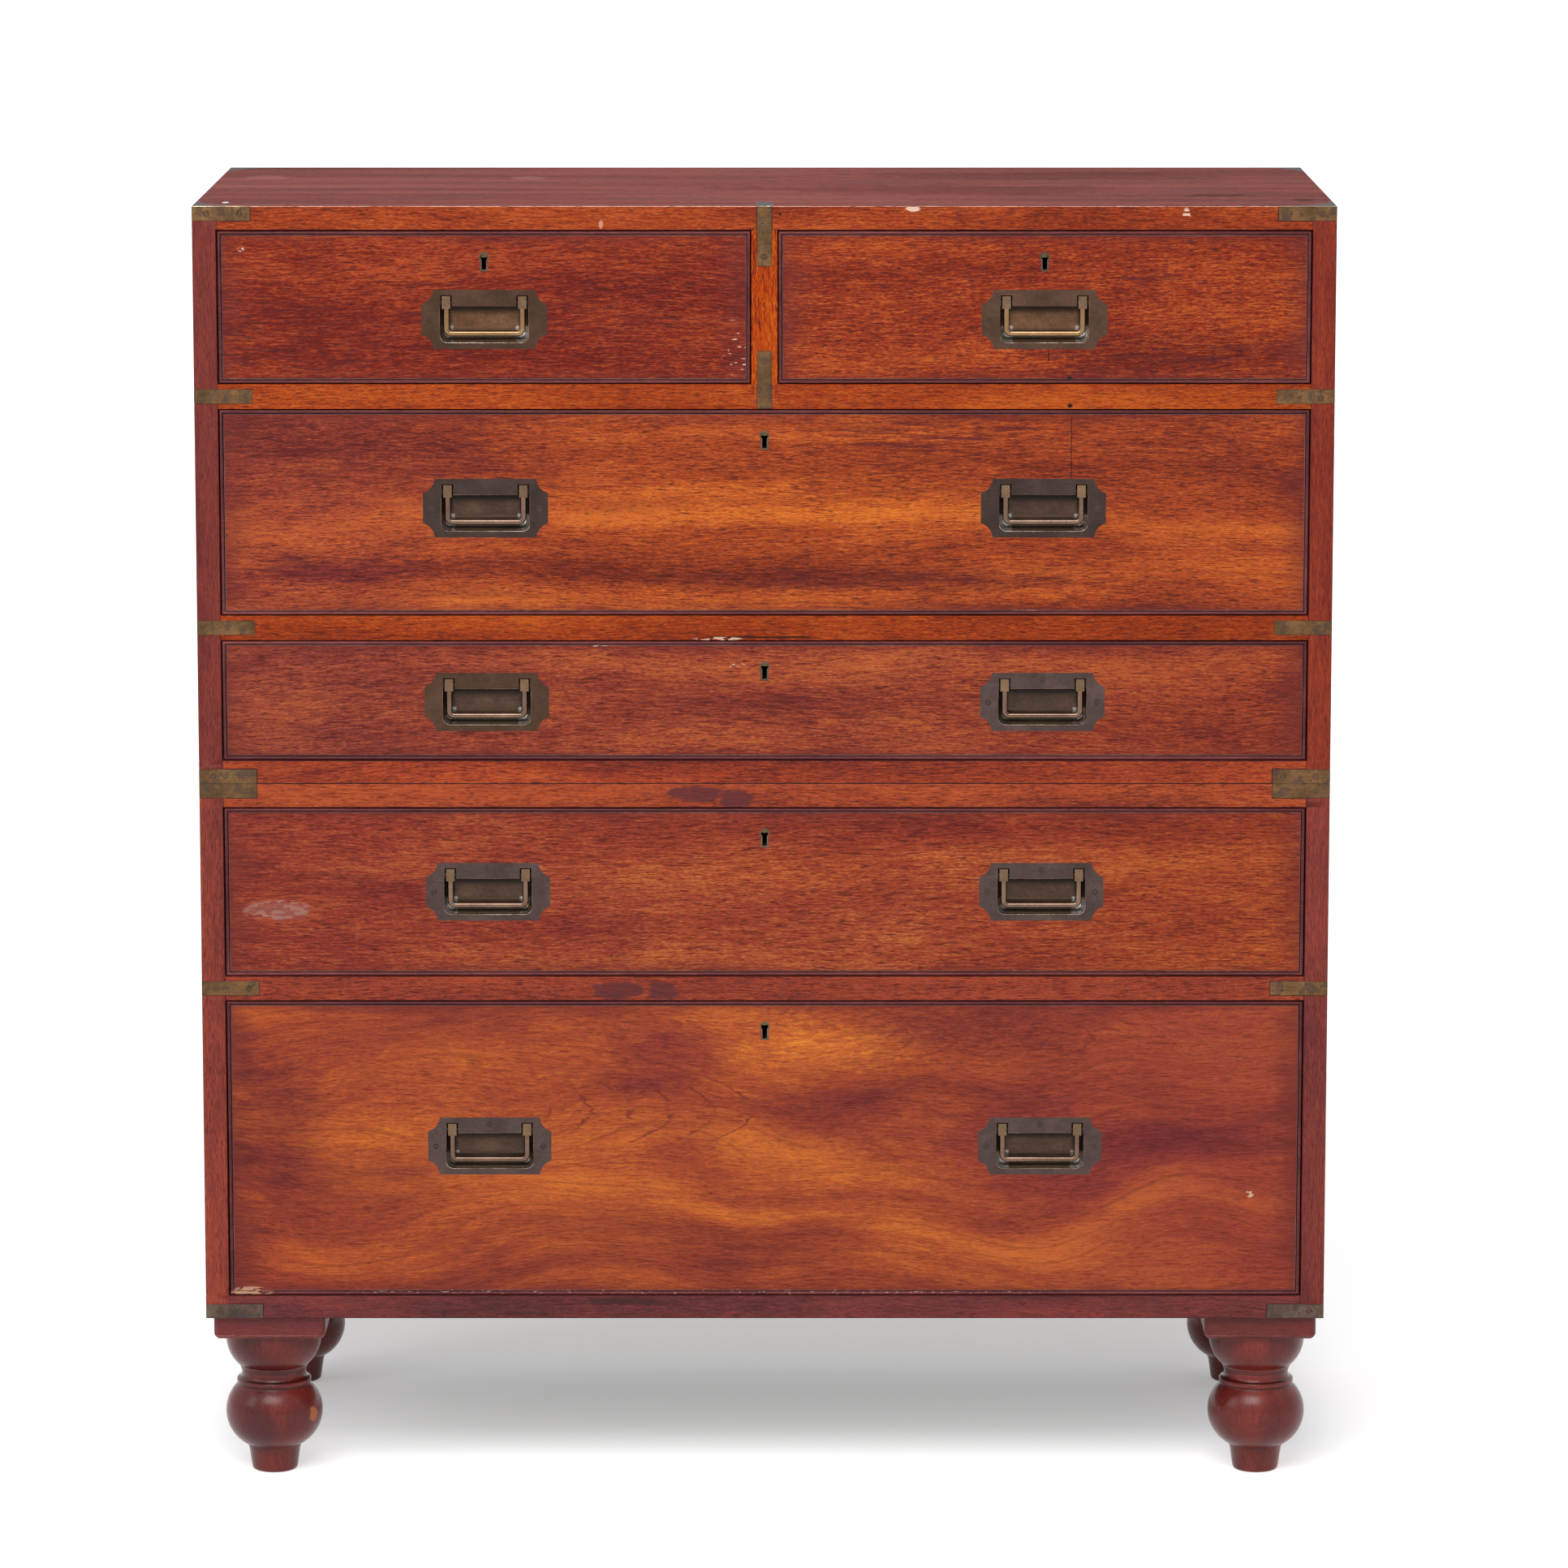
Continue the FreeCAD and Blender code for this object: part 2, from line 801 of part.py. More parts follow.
def cockbead(name, x, z):
    """Four strips with an eased nose, mitred at the corners of the drawer front."""
    width = size.bead_width
    inner_x, inner_z = (x[0] + width, x[1] - width), (z[0] + width, z[1] - width)
    plans = {
        "bottom": [(x[0], z[0]), (x[1], z[0]), (inner_x[1], inner_z[0]), (inner_x[0], inner_z[0])],
        "top": [(inner_x[0], inner_z[1]), (inner_x[1], inner_z[1]), (x[1], z[1]), (x[0], z[1])],
        "left": [(x[0], z[0]), (inner_x[0], inner_z[0]), (inner_x[0], inner_z[1]), (x[0], z[1])],
        "right": [(inner_x[1], inner_z[0]), (x[1], z[0]), (x[1], z[1]), (inner_x[1], inner_z[1])],
    }
    strips = []
    for side, corners in plans.items():
        body = new_body(f"{name}_{side}_bead")
        plan = outline(body, f"{name}_{side}_plan", "XZ_Plane", corners)
        strip = pad(body, f"{name}_{side}_strip", plan, size.bead_depth + size.bead_proud, True)
        flat = side in ("bottom", "top")

        def on_nose(a, b, flat=flat):
            return near(a.y, 0) and near(b.y, 0) and near(*((a.z, b.z) if flat else (a.x, b.x)))

        chamfer(body, f"{name}_{side}_nose", strip, edges_where(strip, on_nose), size.bead_chamfer)
        strips.append(place(body, 0, front, 0))
    return strips


def drawer(name, opening, handle_places, handle_rise, masters):
    """One drawer, with everything on it; returns its nodes and what must be let in above it."""
    (x0, x1), (z0, z1) = opening
    x = (x0 + size.side_gap, x1 - size.side_gap)
    z = (z0 + size.bottom_gap, z1 - size.top_gap)
    middle = (x0 + x1) / 2
    side_low, side_high = z0 + size.slide_clearance, z[1] - size.side_drop
    panel_low = side_low + size.panel_rise
    panel_top = panel_low + size.panel_thickness
    back_top = side_high - size.back_drop

    left_blank = drawer_side(name, x[0], side_low, side_high, panel_top, back_top)
    panel_inset = size.drawer_side - size.panel_groove
    panel = block(
        f"{name}_panel",
        (x[0] + panel_inset, x[1] - panel_inset),
        (front_back - size.panel_groove, drawer_end),
        (panel_low, panel_top),
    )
    left = cut(f"{name}_left_side", left_blank, panel)
    right = mirror(f"{name}_right_side", left, middle)
    back_blank = block(f"{name}_back", x, (drawer_end - size.drawer_back, drawer_end), (panel_top, back_top))
    back = cut(f"{name}_back", back_blank, left, right)

    handle_level = (z0 + z1) / 2 + handle_rise
    key_level = z1 - size.key_level
    lock_low = z[1] - size.lock_height
    half_lock, half_bolt = size.lock_width / 2, size.bolt_width / 2
    slot = size.bolt_clearance
    bolt_y = (bolt_middle - size.bolt_thickness / 2, bolt_middle + size.bolt_thickness / 2)
    bolt_low = z[1] - size.bolt_height
    lock_blank = block(
        f"{name}_lock_case",
        (middle - half_lock, middle + half_lock),
        (front_back - size.lock_thickness, front_back),
        (lock_low, z[1]),
    )
    bolt = block(f"{name}_bolt_bar", (middle - half_bolt, middle + half_bolt), bolt_y, (bolt_low, z[1]))
    bolt_slot = block(
        f"{name}_bolt_slot",
        (middle - half_bolt - slot, middle + half_bolt + slot),
        (bolt_y[0] - slot, bolt_y[1] + slot),
        (bolt_low - slot, z[1] + slot),
    )
    liner_plug = again(f"{name}_liner_plug", masters["liner_plug"], middle, drawer_face, key_level)
    half_slot = size.liner_slot / 2 - size.liner_wall
    lock_face = front_back - size.lock_thickness
    key_slot = block(
        f"{name}_key_slot",
        (middle - half_slot, middle + half_slot),
        (lock_face, lock_face + size.lock_key_depth),
        (key_level - size.liner_drop + size.liner_wall, key_level),
    )
    lock = cut(f"{name}_lock_case", lock_blank, bolt_slot, key_slot)
    liner = again(f"{name}_liner", masters["liner"], middle, drawer_face, key_level)

    fore = block(
        f"{name}_fore",
        (x[0] + size.bead_width, x[1] - size.bead_width),
        (drawer_face, bead_back),
        (z[0] + size.bead_width, z[1] - size.bead_width),
    )
    body_of_front = block(f"{name}_behind_bead", x, (bead_back, front_back), z)
    front_blank = fuse(f"{name}_front_blank", fore, body_of_front)
    mortises = [
        again(f"{name}_handle_mortise_{n}", masters["envelope"], place_x, drawer_face, handle_level)
        for n, place_x in enumerate(handle_places)
    ]
    drawer_front = cut(
        f"{name}_front", front_blank, left, right, panel, lock_blank, liner_plug, *mortises
    )

    nodes = {
        f"{name}_front": [drawer_front],
        f"{name}_box": [left, right, back, panel],
        f"{name}_cockbead": cockbead(name, x, z),
        f"{name}_lock": [lock, liner],
        f"{name}_bolt": [bolt],
    }
    plural = len(handle_places) > 1
    nodes[f"{name}_handle_plate{'s' if plural else ''}"] = [
        again(f"{name}_plate_{n}", masters["plate"], place_x, drawer_face, handle_level)
        for n, place_x in enumerate(handle_places)
    ]
    labels = ("left_bail", "right_bail") if plural else ("bail",)
    for label, place_x in zip(labels, handle_places):
        nodes[f"{name}_{label}"] = [
            again(f"{name}_{label}_link", masters["bail"], place_x, drawer_face, handle_level)
        ]
    spare = size.mortise_clearance
    bolt_mortise = block(
        f"{name}_bolt_mortise",
        (middle - half_bolt - spare, middle + half_bolt + spare),
        (bolt_y[0] - spare, bolt_y[1] + spare),
        (z1, z1 + size.bolt_travel),
    )
    stops = []
    reach = size.stop_inset + size.stop_length
    stop_front = front_back + size.stop_clearance
    for number, start in enumerate((x0 + size.stop_inset, x1 - reach)):
        stops.append(
            block(
                f"{name}_stop_{number}",
                (start, start + size.stop_length),
                (stop_front, stop_front + size.stop_width),
                (z0, z0 + size.stop_height),
            )
        )
    return nodes, bolt_mortise, stops


# ---- cases ---------------------------------------------------------------------------------------------


def case_back(name, low, high):
    """The boards of one back, and the space they are let into."""
    half = inside + size.back_rebate
    space = block(f"{name}_space", (-half, half), (back_face, rear), (low, high))
    width = (half * 2 - size.back_gap * (BACK_BOARDS - 1)) / BACK_BOARDS
    boards = []
    for number in range(BACK_BOARDS):
        start = -half + (width + size.back_gap) * number
        boards.append(
            block(f"{name}_board_{number}", (start, start + width), (back_face, rear), (low, high))
        )
    return space, boards


def level_board(name, low):
    """A top or bottom board over the whole width and depth."""
    return block(name, (-half_width, half_width), (front, rear), (low, low + size.board))


def upright_side(name, x_side, low, high):
    x = (-half_width, -inside) if x_side < 0 else (inside, half_width)
    return block(name, x, (front, rear), (low, high))


def front_rail(name, low):
    return block(name, (-inside, inside), (front, front + size.rail_depth), (low, low + size.rail_height))


def runners(name, low):
    """The strips behind a rail that carry the drawer's sides."""
    y = (front + size.rail_depth, back_face)
    z = (low, low + size.rail_height)
    return [
        block(f"{name}_left_runner", (-inside, -inside + size.runner_width), y, z),
        block(f"{name}_right_runner", (inside - size.runner_width, inside), y, z),
    ]


def pegs(name, radius, low, high):
    """Four locating pegs, or their holes, one near each corner of the case joint."""
    x, y = half_width - size.peg_inset, rear - size.peg_inset
    made = []
    for number, (x_side, y_side) in enumerate(((-1, -1), (1, -1), (-1, 1), (1, 1))):
        peg = prism(f"{name}_{number}", ROD_SIDES, radius, high - low, Vector(0, 0, 1), 0)
        made.append(place(peg, x * x_side, y * y_side, low))
    return made


def build():
    """Every node by name, as a list of pieces."""
    nodes = {}
    envelope, recess = handle_envelope(), handle_recess()
    wall, deep = size.liner_wall, size.front_thickness - size.lock_thickness
    liner_plug = keyhole("liner_plug", size.liner_radius, size.liner_slot, size.liner_drop, deep)
    keyway = keyhole(
        "keyway", size.liner_radius - wall, size.liner_slot - wall * 2, size.liner_drop - wall, deep
    )
    masters = {
        "envelope": envelope,
        "plate": handle_plate(envelope, recess),
        "bail": bail(),
        "liner_plug": liner_plug,
        "liner": cut("keyhole_liner", liner_plug, keyway),
    }

    pair = (-handle_middle, handle_middle)
    full = (-inside, inside)
    plans = {
        "short_drawer_left": (
            ((-inside, -half_divider), (short_low, short_high)),
            (-handle_middle,),
            size.short_handle_rise,
        ),
        "short_drawer_right": (
            ((half_divider, inside), (short_low, short_high)),
            (handle_middle,),
            size.short_handle_rise,
        ),
        "deep_drawer": ((full, (deep_low, deep_high)), pair, size.deep_handle_rise),
        "shallow_drawer": ((full, (shallow_low, shallow_high)), pair, size.shallow_handle_rise),
        "middle_drawer": ((full, (middle_low, middle_high)), pair, size.middle_handle_rise),
        "bottom_drawer": ((full, (bottom_low, bottom_high)), pair, size.bottom_handle_rise),
    }
    mortise, stops = {}, {}
    for name, (opening, places, rise) in plans.items():
        made, mortise[name], stops[name] = drawer(name, opening, places, rise, masters)
        nodes.update(made)

    # upper case
    brass = upper_straps()
    back_low = case_joint + size.board - size.back_rebate
    back_high = short_high + size.back_rebate
    space, boards = case_back("upper_back", back_low, back_high)
    boards = [cut(f"upper_{board.Name}", board, brass) for board in boards]
    peg_high = case_joint + size.peg_height
    loose = size.peg_clearance
    holes = pegs("peg_hole", size.peg_radius + loose, case_joint - loose, peg_high + loose)
    nodes["upper_top_board"] = [
        cut(
            "upper_top",
            level_board("upper_top", short_high),
            space,
            brass,
            mortise["short_drawer_left"],
            mortise["short_drawer_right"],
        )
    ]
    nodes["upper_sides"] = [
        cut(f"upper_{label}", upright_side(f"upper_{label}", side, shallow_low, short_high), space, brass)
        for label, side in (("left", -1), ("right", 1))
    ]
    nodes["upper_bottom_board"] = [
        cut("upper_bottom", level_board("upper_bottom", case_joint), space, brass, *holes)
    ]
    divider = cut(
        "divider",
        block("divider", (-half_divider, half_divider), (front, back_face), (short_low, short_high)),
        brass,
    )
    bearer_half = half_divider + size.bearer_overhang
    bearer = block(
        "bearer",
        (-bearer_half, bearer_half),
        (front + size.rail_depth, back_face),
        (deep_high, deep_high + size.rail_height),
    )
    nodes["upper_rails"] = [
        cut("short_rail", front_rail("short_rail", deep_high), brass, mortise["deep_drawer"]),
        cut("deep_rail", front_rail("deep_rail", shallow_high), brass, mortise["shallow_drawer"]),
        divider,
        bearer,
        *runners("short_rail", deep_high),
        *runners("deep_rail", shallow_high),
        *stops["short_drawer_left"],
        *stops["short_drawer_right"],
        *stops["deep_drawer"],
        *stops["shallow_drawer"],
    ]
    nodes["upper_back"] = boards
    nodes["upper_straps"] = [brass]

    # lower case
    brass = lower_straps()
    back_low = bottom_low - size.back_rebate
    back_high = middle_high + size.back_rebate
    space, boards = case_back("lower_back", back_low, back_high)
    peg_rods = pegs("peg", size.peg_radius, case_joint - size.peg_seat, peg_high)
    nodes["lower_top_board"] = [
        cut(
            "lower_top",
            level_board("lower_top", middle_high),
            space,
            brass,
            mortise["middle_drawer"],
            *peg_rods,
        ),
        *peg_rods,
    ]
    nodes["lower_sides"] = [
        cut(f"lower_{label}", upright_side(f"lower_{label}", side, bottom_low, middle_high), space, brass)
        for label, side in (("left", -1), ("right", 1))
    ]
    nodes["lower_bottom_board"] = [
        cut("lower_bottom", level_board("lower_bottom", lower_bottom), space, brass)
    ]
    nodes["lower_rails"] = [
        cut("bottom_rail", front_rail("bottom_rail", bottom_high), brass, mortise["bottom_drawer"]),
        *runners("bottom_rail", bottom_high),
        *stops["middle_drawer"],
        *stops["bottom_drawer"],
    ]
    nodes["lower_back"] = boards
    nodes["lower_straps"] = [brass]

    # feet
    foot, foot_top = turned_foot(), foot_block()
    inset = size.block_inset + size.block_width / 2
    x, y = half_width - inset, rear - inset
    corners = ((-1, -1), (1, -1), (-1, 1), (1, 1))
    nodes["foot_blocks"] = [
        again(f"foot_block_{n}", foot_top, x * sx, y * sy, size.foot_height)
        for n, (sx, sy) in enumerate(corners)
    ]
    nodes["feet"] = [again(f"foot_{n}", foot, x * sx, y * sy, 0) for n, (sx, sy) in enumerate(corners)]
    return nodes


def write(nodes):
    """Groups each node's pieces, checks every object and writes the STEP files."""
    made = {}
    for name, pieces in nodes.items():
        made[name] = together(f"{name}_node", *pieces)
        made[name].Label = name
    doc.recompute()
    for thing in doc.Objects:
        if "Invalid" in thing.State or "Error" in thing.State:
            raise RuntimeError(f"{thing.Name} failed: {thing.State}")
    os.makedirs("parts", exist_ok=True)
    for name, thing in made.items():
        shape = thing.Shape
        if shape.isNull() or not shape.isValid() or not shape.Solids:
            raise RuntimeError(f"{name} has no valid shape")
        shape.exportStep(f"parts/{name}.step")
    print(f"{len(made)} nodes, {sum(len(m.Shape.Solids) for m in made.values())} solids")


write(build())
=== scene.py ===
# %% [markdown]
# # A campaign chest in two halves
#
# The chest is a travelling chest of drawers: two plain cases that stack, brass let in flush at every
# corner, and handles that fold away so that nothing sticks out when the chest is carried. The solid
# model already holds every board, drawer and hinge in its true place. This script keeps those places
# and gives each piece the look of the real material: a red hardwood with a satin wax finish, and brass
# that was polished once and has been left to darken since.

# %% Load the solid model as a fixed frame
import math
import random

import bmesh
import bpy
from mathutils import Matrix, Vector


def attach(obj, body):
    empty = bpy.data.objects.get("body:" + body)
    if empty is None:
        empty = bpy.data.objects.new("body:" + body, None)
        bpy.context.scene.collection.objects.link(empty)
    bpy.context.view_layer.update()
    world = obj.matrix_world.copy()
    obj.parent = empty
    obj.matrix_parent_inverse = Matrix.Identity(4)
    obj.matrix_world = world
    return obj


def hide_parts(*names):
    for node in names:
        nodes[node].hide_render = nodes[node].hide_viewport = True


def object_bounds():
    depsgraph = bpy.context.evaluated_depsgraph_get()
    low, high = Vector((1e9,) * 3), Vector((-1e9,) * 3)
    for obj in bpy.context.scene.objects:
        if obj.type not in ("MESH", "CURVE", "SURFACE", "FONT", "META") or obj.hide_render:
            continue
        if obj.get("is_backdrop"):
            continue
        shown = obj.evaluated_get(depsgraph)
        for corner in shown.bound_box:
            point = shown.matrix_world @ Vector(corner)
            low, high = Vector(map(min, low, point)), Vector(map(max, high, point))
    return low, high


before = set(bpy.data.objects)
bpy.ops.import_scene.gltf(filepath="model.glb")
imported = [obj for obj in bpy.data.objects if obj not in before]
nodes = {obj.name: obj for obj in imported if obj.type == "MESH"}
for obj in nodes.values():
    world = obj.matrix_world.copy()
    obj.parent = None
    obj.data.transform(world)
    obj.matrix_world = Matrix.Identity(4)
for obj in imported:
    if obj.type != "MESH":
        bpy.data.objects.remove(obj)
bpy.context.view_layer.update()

# %% [markdown]
# ## Names and places
#
# Six drawers repeat the same pieces. A short table of the drawers, with the places of their handles and
# keyholes, lets every later step loop over it instead of repeating itself. Places are in millimetres on
# the front of the chest, across and up, because that is how a maker would lay them out.

# %% The drawers and where their brass sits
MM = 0.001
FRONT, FACE = -216.0, -214.5  # the front of the case, and of the drawers and their brass
TOP, JOINT, CASE_FOOT, FOOT_TOP = 1138.2, 631.6, 151.0, 130  # levels, from the top down
HALF_WIDTH, INNER, HALF_DIVIDER = 495.5, 474.7, 11.25  # outside and inside of a side, side of the divider
HANDLE = 242.975  # from the middle of the chest to the middle of a handle
SHORT_LOW, SHORT_HIGH = 983.4, 1117.4  # the opening of a short drawer
DRAWERS = {
    name: {"x": across, "z": up, "plates": [(x, plate_level) for x in plate_x], "key": (key_x, key_level)}
    for name, across, up, plate_x, plate_level, key_x, key_level in (
        ("short_drawer_left", (-INNER, -HALF_DIVIDER), (SHORT_LOW, SHORT_HIGH), (-HANDLE,), 1039.7, -HANDLE, 1093.9),
        ("short_drawer_right", (HALF_DIVIDER, INNER), (SHORT_LOW, SHORT_HIGH), (HANDLE,), 1039.7, HANDLE, 1093.9),
        ("deep_drawer", (-INNER, INNER), (780.4, 961.9), (-HANDLE, HANDLE), 874.85, 0.0, 938.4),
        ("shallow_drawer", (-INNER, INNER), (652.4, 758.9), (-HANDLE, HANDLE), 704.05, 0.0, 735.4),
        ("middle_drawer", (-INNER, INNER), (459.8, 610.8), (-HANDLE, HANDLE), 535.3, 0.0, 587.3),
        ("bottom_drawer", (-INNER, INNER), (171.8, 438.3), (-HANDLE, HANDLE), 306.95, 0.0, 414.8),
    )
}


def handles():
    """Drawer, side, whether the drawer has two handles, and where the middle of the plate is."""
    for drawer, spread in DRAWERS.items():
        for side, (x, z) in zip(("left", "right"), spread["plates"]):
            yield drawer, side, len(spread["plates"]) > 1, x, z


print("drawers:", ", ".join(DRAWERS))

# %% [markdown]
# ## Writing shaders as sums
#
# A node tree is easier to read as arithmetic. `Value` wraps one socket, and its operators add Math or
# Vector Math nodes behind the scenes, so that a mask can be written as `1 - edge * 0.4`. `Nodes` makes any
# other node with `node()` and mixes colours. `Finish` is one material, and plugs the result into its shader.


# %% A socket that can be added, multiplied and compared
class Value:
    """One output of a node. Arithmetic on it adds nodes to the same tree."""

    def __init__(self, nodes_of, socket):
        self.nodes_of, self.socket = nodes_of, socket

    @property
    def is_vector(self):
        return self.socket.type in ("VECTOR", "RGBA")

    def _join(self, operation, first, second):
        vector = any(isinstance(v, Value) and v.is_vector for v in (first, second))
        kind = "ShaderNodeVectorMath" if vector else "ShaderNodeMath"
        if vector:
            first, second = ((v,) * 3 if isinstance(v, (int, float)) else v for v in (first, second))
        return self.nodes_of.node(kind, {"operation": operation}, {0: first, 1: second})

    def __add__(self, other):
        return self._join("ADD", self, other)

    __radd__ = __add__

    def __sub__(self, other):
        return self._join("SUBTRACT", self, other)

    def __rsub__(self, other):
        return self._join("SUBTRACT", other, self)

    def __mul__(self, other):
        return self._join("MULTIPLY", self, other)

    __rmul__ = __mul__

    def __truediv__(self, other):
        return self._join("DIVIDE", self, other)

    def __pow__(self, other):
        return self._join("POWER", self, other)

    def lowest(self, other):
        return self._join("MINIMUM", self, other)

    def highest(self, other):
        return self._join("MAXIMUM", self, other)

    def size(self):
        """How large it is, whatever its sign."""
        return self.nodes_of.node("ShaderNodeMath", {"operation": "ABSOLUTE"}, {0: self})

    def within(self, low, high, way="SMOOTHSTEP"):
        """0 at low, 1 at high, with a soft start and end unless the way is LINEAR."""
        settings = {"interpolation_type": way, "data_type": "FLOAT"}
        return self.nodes_of.node("ShaderNodeMapRange", settings, {"Value": self, "From Min": low, "From Max": high})


# %% Nodes made by calls, each of which gives back a Value
class Nodes:
    """The node tree of a material or of the world."""

    def __init__(self, tree):
        self.tree = tree

    def give(self, socket, value):
        """Links a Value to a socket, or writes a number or a colour on it."""
        if isinstance(value, Value):
            self.tree.links.new(value.socket, socket)
        elif isinstance(value, (int, float)):
            socket.default_value = value
        else:
            room = len(socket.default_value)
            socket.default_value = tuple(value) + (1.0,) * (room - len(value))

    def node(self, kind, settings=None, values=None, output=0):
        """Any node: its settings are written first, then its sockets."""
        made = self.tree.nodes.new(kind)
        for name, setting in (settings or {}).items():
            setattr(made, name, setting)
        for name, value in (values or {}).items():
            self.give(made.inputs[name], value)
        return Value(self, made.outputs[output])

    def mix(self, amount, first, second):
        """From the first colour to the second, as the amount goes from 0 to 1."""
        return self.node("ShaderNodeMix", {"data_type": "RGBA"}, {0: amount, 6: first, 7: second}, output=2)

    def noise(self, place, scale, detail=2.0, roughness=0.5, seed=0.0):
        """Cloudy noise from 0 to 1; the seed moves it to another part of the cloud."""
        if seed:
            place = place + (seed * 3.7, seed * -2.3, seed * 1.9)
        values = {"Vector": place, "Scale": scale, "Detail": detail, "Roughness": roughness}
        return self.node("ShaderNodeTexNoise", values=values)

    def place(self):
        """Where a point is on the resting chest, in metres."""
        return self.node("ShaderNodeTexCoord", output="Object")

    def parts(self, vector):
        """The three numbers of a vector."""
        made = self.node("ShaderNodeSeparateXYZ", values={0: vector}).socket.node
        return [Value(self, socket) for socket in made.outputs]

    def vector(self, x, y, z):
        return self.node("ShaderNodeCombineXYZ", values={0: x, 1: y, 2: z})

    def sine(self, value):
        return self.node("ShaderNodeMath", {"operation": "SINE"}, {0: value})

    def seen(self):
        """1 for what the camera, a mirror or glass looks at, and 0 for light that falls on other things."""
        path = self.node("ShaderNodeLightPath").socket.node.outputs
        camera, glossy, glass = (Value(self, path[f"Is {ray} Ray"]) for ray in ("Camera", "Glossy", "Transmission"))
        return camera.highest(glossy).highest(glass)


# %% One material
class Finish(Nodes):
    """A material with one shader; its colour, roughness and height can be changed by marks before it is worn."""

    def __init__(self, name, metallic=0.0, shine=0.5):
        self.material = bpy.data.materials.new(name)
        self.material.use_nodes = True
        super().__init__(self.material.node_tree)
        self.shader = self.tree.nodes["Principled BSDF"]
        self.shader.inputs["Metallic"].default_value = metallic
        self.shader.inputs["Specular IOR Level"].default_value = shine
        self.axes = self.parts(self.place())
        self.colour, self.rough, self.height = (0, 0, 0), 0.5, 0.0

    def tint(self, amount, colour):
        """Moves the material's colour towards another one."""
        self.colour = self.mix(amount, self.colour, colour)

    def bump(self, height, distance, strength):
        values = {"Height": height, "Distance": distance, "Strength": strength}
        self.give(self.shader.inputs["Normal"], self.node("ShaderNodeBump", values=values))

    def wear(self, **looks):
        """Plugs values into the shader, by the name of the socket in small letters."""
        for name, value in looks.items():
            self.give(self.shader.inputs[name.replace("_", " ").title()], value)


# %% [markdown]
# ## The wood
#
# The wood is a red hardwood with an even, slightly wavy straight grain. Seen close, it has three things
# at three scales: short dark pores that run with the grain, streaks a few millimetres wide, and broad
# patches where the polish has turned redder or where light has faded it. Each is one noise that is
# stretched along the grain. A second, gentler noise bends the place that they are read from, so that the
# lines waver as real fibres do.
#
# One function makes every piece of it. What differs between pieces is the direction of the grain, the
# three tones from dark to light, and the seed that moves the pattern.

# %% How the grain lies, and three tones from dark to light
GRAIN = {"X": (0, 2, 1), "Y": (1, 0, 2), "Z": (2, 0, 1)}


def three_tones(wood, amount, dark, middle, light):
    """The middle tone at a half; dark and light are only reached at 0.15 and 0.85, where noise is rare."""
    low = wood.mix(amount.within(0.15, 0.5, "LINEAR"), dark, middle)
    return wood.mix(amount.within(0.5, 0.85, "LINEAR"), low, light)


def along_board(wood, across, tones):
    """Tones that change from the left end of a board to its middle and its right end."""
    if len(tones) == 1:
        return tones[0]
    left, middle, right = tones
    near_left, near_right = across.within(-0.460, -0.115), across.within(0.092, 0.414)
    mixed = [wood.mix(near_left, a, b) for a, b in zip(left, middle)]
    return [wood.mix(near_right, m, c) for m, c in zip(mixed, right)]


# %% The wood itself
PORE = (0.070, 0.010, 0.009)


